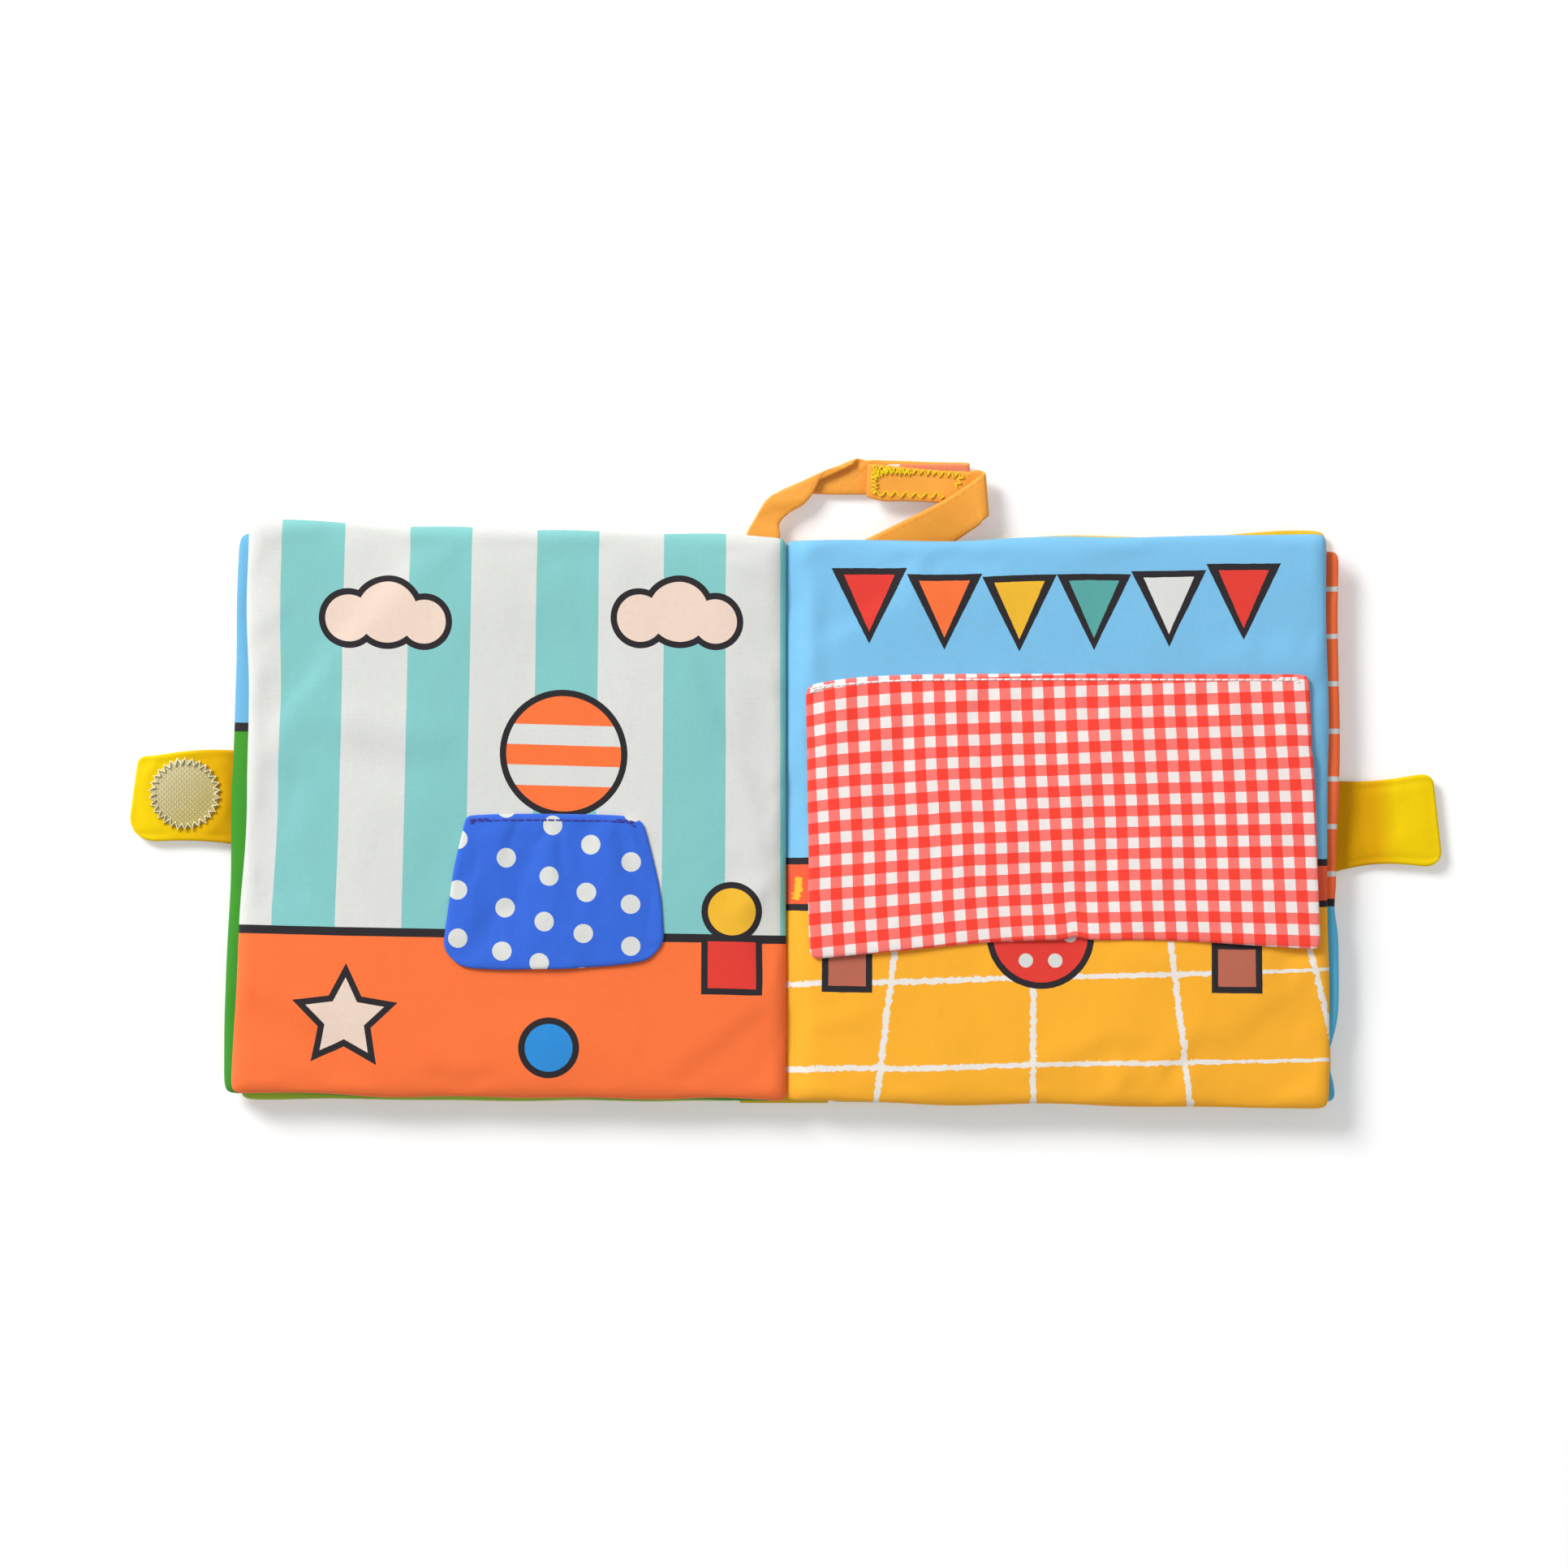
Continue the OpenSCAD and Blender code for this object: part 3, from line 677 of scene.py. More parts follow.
def disc_effect() -> bpy.types.NodeTree:
    """A printed disc."""

    def make(g: Graph, start: bpy.types.Node) -> dict[str, Socket]:
        out = start.outputs
        dx, dy = g.sub(out["X"], out["Mid X"]), g.sub(out["Y"], out["Mid Y"])
        square = g.add(g.mul(dx, dx), g.mul(dy, dy))
        return {"Mask": g.less(square, g.mul(out["Radius"], out["Radius"]))}

    values = {"X": 0.0, "Y": 0.0, "Mid X": 0.0, "Mid Y": 0.0, "Radius": 1.0}
    return effect("print_disc", values, ("Mask",), make)


def bar_effect() -> bpy.types.NodeTree:
    """A printed bar between two points, with square ends."""

    def make(g: Graph, start: bpy.types.Node) -> dict[str, Socket]:
        out = start.outputs
        ux, uy = g.sub(out["End X"], out["Start X"]), g.sub(out["End Y"], out["Start Y"])
        px, py = g.sub(out["X"], out["Start X"]), g.sub(out["Y"], out["Start Y"])
        length = g.math("SQRT", g.add(g.mul(ux, ux), g.mul(uy, uy)))
        along = g.math("DIVIDE", g.add(g.mul(px, ux), g.mul(py, uy)), length)
        cross = g.sub(g.mul(px, uy), g.mul(py, ux))
        across = g.math("ABSOLUTE", g.math("DIVIDE", cross, length))
        inside = g.mul(g.math("GREATER_THAN", along, 0.0), g.less(along, length))
        return {"Mask": g.mul(inside, g.less(across, out["Half"]))}

    values = {"X": 0.0, "Y": 0.0, "Start X": 0.0, "Start Y": 0.0, "End X": 1.0, "End Y": 0.0, "Half": 1.0}
    return effect("print_bar", values, ("Mask",), make)


def flag_effect() -> bpy.types.NodeTree:
    """A printed pennant: a triangle that hangs point down."""

    def make(g: Graph, start: bpy.types.Node) -> dict[str, Socket]:
        out = start.outputs
        down = g.sub(out["Mid Y"], out["Y"])
        share = g.math("DIVIDE", down, out["Height"])
        half = g.mul(out["Half"], g.sub(1.0, share))
        across = g.math("ABSOLUTE", g.sub(out["X"], out["Mid X"]))
        inside = g.mul(g.math("GREATER_THAN", share, 0.0), g.less(share, 1.0))
        return {"Mask": g.mul(inside, g.less(across, half))}

    values = {"X": 0.0, "Y": 0.0, "Mid X": 0.0, "Mid Y": 0.0, "Half": 1.0, "Height": 1.0}
    return effect("print_flag", values, ("Mask",), make)


def star_effect() -> bpy.types.NodeTree:
    """A printed star with five points."""

    def make(g: Graph, start: bpy.types.Node) -> dict[str, Socket]:
        out = start.outputs
        dx, dy = g.sub(out["X"], out["Mid X"]), g.sub(out["Y"], out["Mid Y"])
        far = g.math("SQRT", g.add(g.mul(dx, dx), g.mul(dy, dy)))
        angle = g.math("ARCTAN2", dx, dy)
        turn = g.math("ABSOLUTE", g.math("WRAP", angle, math.pi / 5, -math.pi / 5))
        px, py = g.mul(far, g.math("COSINE", turn)), g.mul(far, g.math("SINE", turn))
        inner = 0.5
        nx, ny = inner * math.sin(math.pi / 5), 1 - inner * math.cos(math.pi / 5)
        side = g.add(g.mul(px, nx), g.mul(py, ny))
        return {"Mask": g.less(side, g.mul(out["Radius"], nx))}

    values = {"X": 0.0, "Y": 0.0, "Mid X": 0.0, "Mid Y": 0.0, "Radius": 1.0}
    return effect("print_star", values, ("Mask",), make)


class Print:
    """A cloth's printed picture, drawn shape over shape on the cloth's own millimetres."""

    def __init__(self, graph: Graph, ground: Colour, wobble: float = 0.0) -> None:
        """Start with a plain ground.

        Args:
            graph: the material's graph.
            ground: the colour of the bare cloth.
            wobble: how unsteady the printed edges are, in millimetres.
        """
        self.g = graph
        source = graph.node("UVMap", uv_map="cloth").outputs[0]
        self.place = source
        if wobble:
            shake = graph.noise(source, 0.45, 2.0)
            away = graph.node("VectorMath", operation="SUBTRACT")
            graph.put(away.inputs[0], shake.outputs[1])
            away.inputs[1].default_value = (0.5, 0.5, 0.5)
            much = graph.node("VectorMath", operation="SCALE")
            graph.put(much.inputs[0], away.outputs[0])
            much.inputs["Scale"].default_value = wobble * 2
            total = graph.node("VectorMath", operation="ADD")
            graph.put(total.inputs[0], source)
            graph.put(total.inputs[1], much.outputs[0])
            source = total.outputs[0]
        split = graph.node("SeparateXYZ")
        graph.put(split.inputs[0], source)
        self.x, self.y = split.outputs[0], split.outputs[1]
        self.colour: object = ground
        self.rubbed: Socket | None = None

    def lay(self, mask: object, colour: object) -> None:
        """Print one shape over what is there."""
        self.colour = self.g.mix(mask, self.colour, colour)

    def shape(self, tree: bpy.types.NodeTree, **values: object) -> Socket:
        """Mask of one printed shape."""
        return self.g.group(tree, X=self.x, Y=self.y, **values).outputs[0]

    def disc(self, mid: Point, radius: float, colour: Colour) -> Socket:
        """Print a disc and give its mask."""
        mask = self.shape(disc_effect(), Mid_X=mid[0], Mid_Y=mid[1], Radius=radius)
        self.lay(mask, colour)
        return mask

    def bar(self, start: Point, end: Point, half: float, colour: Colour) -> Socket:
        """Print a bar and give its mask."""
        mask = self.bar_mask(start, end, half)
        self.lay(mask, colour)
        return mask

    def bar_mask(self, start: Point, end: Point, half: object) -> Socket:
        """The mask of a bar, unprinted."""
        ends = {"Start_X": start[0], "Start_Y": start[1], "End_X": end[0], "End_Y": end[1]}
        return self.shape(bar_effect(), **ends, Half=half)

    def chalk(self, start: Point, end: Point, half: float, inside: Socket, colour: Colour) -> None:
        """Draw a rough chalk line that shows only inside a mask."""
        if self.rubbed is None:
            rub = self.g.noise(self.place, 0.5, 5.0, Roughness=0.7)
            self.rubbed = self.g.sub(self.g.mul(rub.outputs[0], 3.4), 0.7)
        mask = self.bar_mask(start, end, self.g.mul(self.rubbed, half))
        self.lay(self.g.mul(inside, mask), colour)

    def flag(self, mid: Point, half: float, height: float, colour: Colour) -> None:
        """Print a pennant that hangs from a point."""
        self.lay(self.shape(flag_effect(), Mid_X=mid[0], Mid_Y=mid[1], Half=half, Height=height), colour)

    def star(self, mid: Point, radius: float, colour: Colour) -> None:
        """Print a star."""
        self.lay(self.shape(star_effect(), Mid_X=mid[0], Mid_Y=mid[1], Radius=radius), colour)

    def above(self, low: float) -> Socket:
        """Mask of all above a height."""
        return self.g.math("GREATER_THAN", self.y, low)

    def between(self, low: float, high: float) -> Socket:
        """Mask of a level band."""
        return self.g.mul(self.above(low), self.g.less(self.y, high))

    def mesh(self, pitch: float, share: float) -> Socket:
        """Mask of the knots of a slanted net."""
        masks = []
        for operation in ("ADD", "SUBTRACT"):
            step = self.g.math("FLOORED_MODULO", self.g.math(operation, self.x, self.y), pitch)
            masks.append(self.g.less(step, pitch * share))
        return self.g.mul(*masks)

    def columns(self, first: float, pitch: float, width: float, lean: float = 0.0) -> Socket:
        """Mask of upright stripes that repeat across the cloth."""
        across = self.g.math("MULTIPLY_ADD", self.y, lean, self.x)
        step = self.g.math("FLOORED_MODULO", self.g.sub(across, first), pitch)
        return self.g.less(step, width)

    def rows(self, first: float, pitch: float, width: float, lean: float = 0.0) -> Socket:
        """Mask of level stripes that repeat up the cloth."""
        up = self.g.math("MULTIPLY_ADD", self.x, lean, self.y)
        step = self.g.math("FLOORED_MODULO", self.g.sub(up, first), pitch)
        return self.g.less(step, width)


WEAVE_DEPTH = 0.0003
WRINKLE_DEPTH = 0.004


@dataclass(frozen=True)
class ClothFinish:
    """Printed or dyed cloth: its picture, weave, sheen and roughness, and any painted shade laid in broad random
    patches.
    """

    name: str
    ground: Colour
    draw: Callable[[Print], None] | None = None
    roughness: float = 0.72
    sheen: float = 0.25
    specular: float = 0.25
    pitch: float = 0.7
    grain: float = 0.08
    drift: float = 0.05
    knit: float = 0.06
    bump: float = 0.3
    wrinkle: float = 0.0
    wobble: float = 0.0
    # Painted shade: a darker tone laid in broad random patches by the weave's drift.
    drift_shade: Colour | None = None

    def make(self) -> bpy.types.Material:
        """Build the material.

        Returns:
            The material.
        """
        material = bpy.data.materials.new(self.name)
        material.use_nodes = True
        material.diffuse_color = (*self.ground, 1)
        graph = Graph(material.node_tree)
        shader = material.node_tree.nodes["Principled BSDF"]
        picture = Print(graph, self.ground, self.wobble)
        if self.draw:
            self.draw(picture)
        values = {"Pitch": self.pitch, "Grain": self.grain, "Drift": self.drift, "Knit": self.knit}
        weave = graph.group(weave_effect(), Place=picture.place, **values)
        # Lay the painted shade where the weave's drift is high.
        if self.drift_shade:
            picture.lay(weave.outputs["Drift"], self.drift_shade)
        shade = graph.node("VectorMath", operation="SCALE")
        graph.put(shade.inputs[0], picture.colour if isinstance(picture.colour, Socket) else self.ground)
        graph.put(shade.inputs["Scale"], weave.outputs["Shade"])
        graph.put(shader.inputs["Base Color"], shade.outputs[0])
        rough = graph.mul(weave.outputs["Shade"], self.roughness, clamp=True)
        graph.put(shader.inputs["Roughness"], rough)
        shader.inputs["Specular IOR Level"].default_value = self.specular
        shader.inputs["Sheen Weight"].default_value = self.sheen
        shader.inputs["Sheen Roughness"].default_value = 0.45
        height = graph.bump(self.bump, WEAVE_DEPTH, weave.outputs["Height"])
        if self.wrinkle:
            folds = graph.group(wrinkle_effect(), Place=picture.place).outputs[0]
            graph.put(height.inputs["Normal"], graph.bump(self.wrinkle, WRINKLE_DEPTH, folds).outputs[0])
        graph.put(shader.inputs["Normal"], height.outputs[0])
        return material


# The printed pictures

INK_W = 1.9


def cloud(p: Print, mid: Point) -> None:
    """Print a small peach cloud with a dark outline."""
    puffs = (((0, 0), 9.0), ((-11, -2.6), 6.5), ((11.5, -2.2), 7.0))
    for edge, colour in ((INK_W, INK), (0.0, PEACH)):
        for (dx, dy), radius in puffs:
            p.disc((mid[0] + dx, mid[1] + dy), radius + edge, colour)


def ringed_disc(p: Print, mid: Point, radius: float, colour: Colour) -> Socket:
    """Print a disc with a dark outline and give its own mask."""
    p.disc(mid, radius + INK_W, INK)
    return p.disc(mid, radius, colour)


def block(p: Print, mid: Point, half: float, colour: Colour) -> None:
    """Print a square with a dark outline."""
    for reach, tone in ((half + INK_W, INK), (half, colour)):
        p.bar((mid[0] - reach, mid[1]), (mid[0] + reach, mid[1]), reach, tone)


def page_point(quad: Quad, u: float, v: float) -> Point:
    """A place on a page, in the millimetres of its own cloth."""
    return u * quad.width, v * quad.height


def draw_left_page(p: Print) -> None:
    """White and teal stripes over an orange floor, with a ball, clouds, a tower and a star."""
    w, h = LEFT_PAGE.width, LEFT_PAGE.height
    p.lay(p.columns(0.1126 * w, 0.2365 * w, 0.1155 * w), TEAL)
    p.lay(p.g.math("GREATER_THAN", p.x, 0.94 * w), WHITE)
    p.lay(p.g.less(p.x, 1.8), EDGE_TEAL)
    p.lay(p.between(-9, 0.294 * h), INK)
    p.lay(p.between(-9, 0.279 * h), FLOOR_ORANGE)
    cloud(p, page_point(LEFT_PAGE, 0.74, 0.845))
    cloud(p, page_point(LEFT_PAGE, 0.2, 0.86))
    ball = page_point(LEFT_PAGE, 0.41, 0.605)
    inside = ringed_disc(p, ball, 17, FLOOR_ORANGE)
    for offset in (5.5, -6.5):
        bar = p.bar_mask((ball[0] - 20, ball[1] + offset), (ball[0] + 20, ball[1] + offset), 3)
        p.lay(p.g.mul(inside, bar), WHITE)
    tower = page_point(LEFT_PAGE, 0.1, 0.24)
    ringed_disc(p, (tower[0], tower[1] + 14 + INK_W), 7, TOY_YELLOW)
    block(p, tower, 7.0, TOY_RED)
    star = page_point(LEFT_PAGE, 0.8, 0.135)
    p.star(star, 12 + 2.2 * INK_W, INK)
    p.star(star, 12, PEACH)
    ringed_disc(p, page_point(LEFT_PAGE, 0.43, 0.09), 7, TOY_BLUE)


def draw_left_under(p: Print) -> None:
    """Sky over grass with a dark line between."""
    h = LEFT_UNDER.height
    p.lay(p.between(-9, 0.662 * h), INK)
    p.lay(p.between(-9, 0.646 * h), GRASS)


def draw_right_page(p: Print) -> None:
    """Blue wall with bunting, a dark-edged band and a tiled floor with a ball and two blocks."""
    w, h = RIGHT_PAGE.width, RIGHT_PAGE.height
    p.lay(p.between(-9, 0.435 * h), INK)
    p.lay(p.between(-9, 0.423 * h), BAND_BROWN)
    for x in (3.0, 8.5):
        p.chalk((x, 0.36 * h), (x + 1.5, 0.4 * h), 1.1, p.between(0.352 * h, 0.423 * h), TOY_YELLOW)
    for top, colour in ((0.352 * h, INK), (0.34 * h, FLOOR_YELLOW)):
        p.lay(p.g.less(p.g.math("MULTIPLY_ADD", p.x, -1.9 / w, p.y), top), colour)
    floor = p.between(-9, 0.335 * h)
    for v, rise in ((0.058, 1.8), (0.21, 2.7)):
        p.chalk((-3, v * h - 0.5), (0.36 * w, v * h + 2.0), 0.85, floor, CHALK)
        p.chalk((0.36 * w, v * h + 2.0), (0.8 * w, v * h + 2.7 + 0.6 * rise), 0.75, floor, CHALK)
        p.chalk((0.8 * w, v * h + 2.7 + 0.6 * rise), (w + 3, v * h + 3.0 + rise), 0.5, floor, CHALK)
    for i in range(4):
        foot, head = (0.165 + 0.29 * i) * w + 0.3 * i, (0.205 + 0.25 * i) * w + 0.3 * i
        p.chalk((foot, -3), (head, 0.29 * h), 0.9, floor, CHALK)
    flags = (TOY_RED, FLOOR_ORANGE, TOY_YELLOW, TOY_TEAL, WHITE, TOY_RED)
    for i, colour in enumerate(flags):
        v = 0.955 - 0.035 * math.sin(math.radians(30 + 24 * i))
        x, y = page_point(RIGHT_PAGE, 0.155 + 0.138 * i, v)
        p.flag((x, y + INK_W), 7.5 + 1.9 * INK_W, 17 + 2.9 * INK_W, INK)
        p.flag((x, y), 7.5, 17, colour)
    ball = page_point(RIGHT_PAGE, 0.47, 0.3)
    ringed_disc(p, ball, 14, TOY_RED)
    for i in range(6):
        angle = math.radians(60 * i)
        p.disc((ball[0] + 8.7 * math.cos(angle), ball[1] + 8.7 * math.sin(angle)), 2.1, WHITE)
    for u, v in ((0.115, 0.24), (0.83, 0.245)):
        block(p, page_point(RIGHT_PAGE, u, v), 5.5, TOY_BROWN)


def draw_right_under(p: Print) -> None:
    """Orange tiles with white joints over a blue field, with a dark line between."""
    h = RIGHT_UNDER.height
    joints = p.g.mul(p.above(0.36 * h), p.rows(0.925 * h - 7 * 0.0862 * h, 0.0862 * h, 1.5))
    p.lay(joints, WHITE)
    p.lay(p.between(-9, 0.368 * h), INK)
    p.lay(p.between(-9, 0.354 * h), POOL_BLUE)


def draw_dots(p: Print) -> None:
    """White dots in slanted rows, each a little off its place."""
    for i in range(-1, 5):
        for j in range(-1, 4):
            x = DOT_MID - 14.3 + 12.6 * i - 0.7 * j + 1.1 * math.sin(math.radians(97 * i + 41 * j))
            y = DOT_TOP + 0.6 - 4.5 * i - 13.5 * j + 1.1 * math.cos(math.radians(61 * i + 83 * j))
            if abs(x - DOT_MID) < 36 and -50 < y - DOT_TOP < 3:
                p.disc((x, y), 2.85, WHITE)


def draw_check(p: Print) -> None:
    """Red gingham: two sets of light bands, dark where they cross."""
    down, across = p.columns(0.6, 6.5, 3.3, 0.022), p.rows(-3.7, 6.76, 3.4, -0.031)
    either = p.g.math("MAXIMUM", down, across)
    p.lay(either, CHECK_LIGHT)
    p.lay(p.g.mul(down, across), CHECK_DARK)


def draw_hooks(p: Print) -> None:
    """The fine slanted mesh of a fastening pad."""
    pale = p.g.mul(p.g.sub(p.g.sub(p.y, p.x), 166.0), 0.05, clamp=True)
    p.lay(p.g.mul(pale, 0.85), srgb("d2c8a2"))
    for rows, tone in ((p.mesh(1.5, 0.55), srgb("a89659")), (p.mesh(1.5, 0.3), srgb("ece3c0"))):
        p.lay(p.g.mul(rows, 0.85), tone)


def draw_left_tab(p: Print) -> None:
    """Yellow with painted shadow that turns it amber towards the book, which shades it."""
    # Painted shadow of the book: an amber ramp over the 30 mm nearest the book.
    p.lay(p.g.mul(p.g.sub(30.0, p.x), 0.045, clamp=True), TAB_PAINTED_SHADE)


def draw_right_tab(p: Print) -> None:
    """Yellow with an amber band of painted shade over the hollow near the book."""
    away = p.g.math("ABSOLUTE", p.g.sub(p.x, 14.0))
    near = p.g.mul(p.g.sub(11.5, away), 0.14, clamp=True)
    # Painted shade: an amber band centred on the tab's hollow.
    p.lay(p.g.math("SMOOTH_MIN", near, 1.0, 0.4), TAB_PAINTED_SHADE)


def draw_loops(p: Print) -> None:
    """Salmon loops with a bare white end."""
    p.lay(p.g.less(p.x, 4.8), srgb("ece8e2"))


def draw_strap(p: Print) -> None:
    """A line of stitches along each edge of the webbing."""
    for y in (1.3, 9.7):
        p.lay(p.g.mul(p.between(y - 0.2, y + 0.2), p.columns(0.3, 2.1, 1.5)), srgb("f09c34"))


PAGE = {"roughness": 0.7, "wrinkle": 0.1, "sheen": 0.12, "specular": 0.15}
LEFT_PAGE_CLOTH = ClothFinish("left_page_print", WHITE, draw_left_page, **PAGE)
LEFT_UNDER_CLOTH = ClothFinish("left_under_print", SKY, draw_left_under, **PAGE)
RIGHT_PAGE_CLOTH = ClothFinish("right_page_print", WALL_BLUE, draw_right_page, wobble=0.12, **PAGE)
RIGHT_UNDER_CLOTH = ClothFinish("right_under_print", TILE_ORANGE, draw_right_under, wobble=0.2, **PAGE)
# The cover's yellow darkens in broad random patches of painted shade.
COVER_CLOTH = ClothFinish("cover_yellow_cloth", COVER_YELLOW, roughness=0.6, wrinkle=0.25, drift_shade=srgb("dfb010"))
LIME_CLOTH = ClothFinish("cover_lime_lining", LIME, roughness=0.7, wrinkle=0.2)
DOT_CLOTH = ClothFinish("blue_dotted_cloth", FLAP_BLUE, draw_dots, roughness=0.62, wrinkle=0.3)
CHECK_CLOTH = ClothFinish("red_gingham_cloth", srgb("f7edea"), draw_check, wobble=0.12, wrinkle=0.25)
TAB = {"roughness": 0.6, "sheen": 0.0, "specular": 0.08, "wrinkle": 0.25, "knit": 0.02}
LEFT_TAB_CLOTH = ClothFinish("left_tab_cloth", TAB_YELLOW, draw_left_tab, **TAB)
RIGHT_TAB_CLOTH = ClothFinish("right_tab_cloth", TAB_YELLOW, draw_right_tab, **TAB)
STRAP_CLOTH = ClothFinish(
    "orange_strap_satin",
    STRAP_ORANGE,
    draw_strap,
    roughness=0.5,
    sheen=0.1,
    specular=0.3,
    pitch=0.6,
    wrinkle=0.3,
)
LOOP_CLOTH = ClothFinish(
    "salmon_loops", srgb("ee8a62"), draw_loops, roughness=0.95, sheen=0.4, pitch=0.8, grain=0.3, bump=0.5
)
PATCH_CLOTH = ClothFinish("fastening_loops", PATCH_CREAM, draw_hooks, roughness=0.9, sheen=0.1, grain=0.2)
YELLOW_THREAD = ClothFinish("yellow_thread", srgb("ffe01c"), roughness=0.6, sheen=0.0)
PALE_THREAD = ClothFinish("pale_thread", srgb("fff8cc"), roughness=0.6, sheen=0.1)
WHITE_THREAD = ClothFinish("white_thread", srgb("fff4f2"), roughness=0.55)
BLUE_THREAD = ClothFinish("violet_thread", srgb("3c379c"), roughness=0.55)


# Padded leaves


SEAM_W = 1.6
EDGE_ROUND = 2.6


@dataclass
class PaddedLeaf:
    """One leaf or cover: two cloth faces with wadding between them."""

    name: str
    quad: Quad
    low_z: float
    body: Body
    finish: ClothFinish
    replaces: tuple[str, ...]
    slot: str
    columns: int = 58
    rows: int = 60
    corner_r: float = 2.2
    gutter_r: float = 0.9
    thickness: float = 1.4
    wave: float = 0.6
    nips: tuple[tuple[float, float, float], ...] = ()
    fore_rise: float = 0.0
    roll: float = 0.0
    roll_w: float = 7.0
    crown: float = 0.35
    seed: float = 0.0
    lining: ClothFinish | None = None
    creases: tuple[Crease, ...] = field(default_factory=tuple)

    def build(self) -> bpy.types.Object:
        """Model the leaf from a grid, blow it up, crease it and dress it.

        Returns:
            The leaf.
        """
        obj = new_grid(self.name, self.columns, self.rows)
        reshape(obj, self._outline)
        scale_uv(obj, self.quad.width, self.quad.height)
        thicken(obj, self.thickness, levels=0)
        low, high = self.low_z + 0.12, self.low_z + BOOK.leaf_t
        mid = (low + high) / 2 * MM
        puff(obj, 1.5, 0.45, lambda co: abs(co.z - mid) < 1e-6 or self._rim(co))
        for vertex in obj.data.vertices:
            self._settle(vertex, mid)
        apply_modifier(obj, "SUBSURF", levels=1, render_levels=1)
        smooth_out(obj)
        self.dress(obj)
        finish_piece(obj, self.body, self.replaces)
        return obj

    def dress(self, obj: bpy.types.Object) -> None:
        """Give the leaf its cloth, and its lining on the upper face."""
        obj.data.materials.append(self.finish.make())
        if self.lining:
            obj.data.materials.append(self.lining.make())
            for face in obj.data.polygons:
                face.material_index = 1 if face.normal.z > 0.35 else 0

    def _outline(self, co: Vector) -> tuple[float, float, float]:
        """Place a grid point on the sheet, with round corners and wavy sides."""
        w, h = self.quad.width, self.quad.height
        x, y = round_corner(co.x * w, co.y * h, w, h, self.corner_r if co.x > 0.5 else self.gutter_r)
        x, y = self.quad.at(x / w, y / h)
        side, level = co.x * 2 - 1, co.y * 2 - 1
        wave_x = self.wave * noise.noise(Vector((self.seed, y * 0.03, 1.7))) * 2
        wave_y = self.wave * noise.noise(Vector((x * 0.03, self.seed, 5.1))) * 2
        outward = math.copysign(1, self.quad.foot_out[0] - self.quad.foot_in[0])
        for place, depth, reach in self.nips:
            x -= outward * depth * math.exp(-(((y - place) / reach) ** 2)) * max(0.0, side) ** 3
        x += wave_x * max(0.0, side) ** 3
        y += wave_y * abs(level) ** 3
        return x, y, self.low_z + BOOK.leaf_t / 2

    def _rim(self, co: Vector) -> bool:
        """Whether a point lies on the leaf's seam."""
        u, v = self._where(co)
        w, h = self.quad.width, self.quad.height
        return min(u, w - u, v, h - v) < SEAM_W

    def _where(self, co: Vector) -> Point:
        """The cloth's own millimetres at a place."""
        x, y = co.x / MM, co.y / MM
        q = self.quad
        v = (y - q.foot_in[1]) / q.height
        inner = q.foot_in[0] + (q.head_in[0] - q.foot_in[0]) * v
        outer = q.foot_out[0] + (q.head_out[0] - q.foot_out[0]) * v
        u = (x - inner) / (outer - inner)
        low = q.foot_in[1] + (q.foot_out[1] - q.foot_in[1]) * u
        top = q.head_in[1] + (q.head_out[1] - q.head_in[1]) * u
        return u * q.width, (y - low) / (top - low) * q.height

    def _settle(self, vertex: bpy.types.MeshVertex, mid: float) -> None:
        """Crown, crease and roll the upper face, and lay the lower one flat."""
        x, y = self._where(vertex.co)
        w, h = self.quad.width, self.quad.height
        edge = min(x, w - x, y, h - y)
        full = 1 - math.exp(-max(edge, 0) / EDGE_ROUND)
        rolled = self.roll * (1 - ease(x / self.roll_w)) ** 1.5
        lift = self.fore_rise * ease((x - w + 4.5) / 4) - rolled
        z = vertex.co.z / MM
        half = BOOK.leaf_t / 2
        if z > mid / MM:
            z = z + (half - self.thickness / 2) * full + self.crown * full
            z += 0.5 * full * noise.noise(Vector((x * 0.022, y * 0.022, self.seed)))
            z += 0.22 * full * noise.noise(Vector((x * 0.07, y * 0.05, self.seed + 9)))
            z += sum(c.lift(x, y) for c in self.creases)
            z = max(z + lift, self.low_z + 0.6)
        else:
            z = max(z + lift - (half - self.thickness / 2) * full, self.low_z + 0.06)
        vertex.co.z = z * MM


# Lift-up flaps


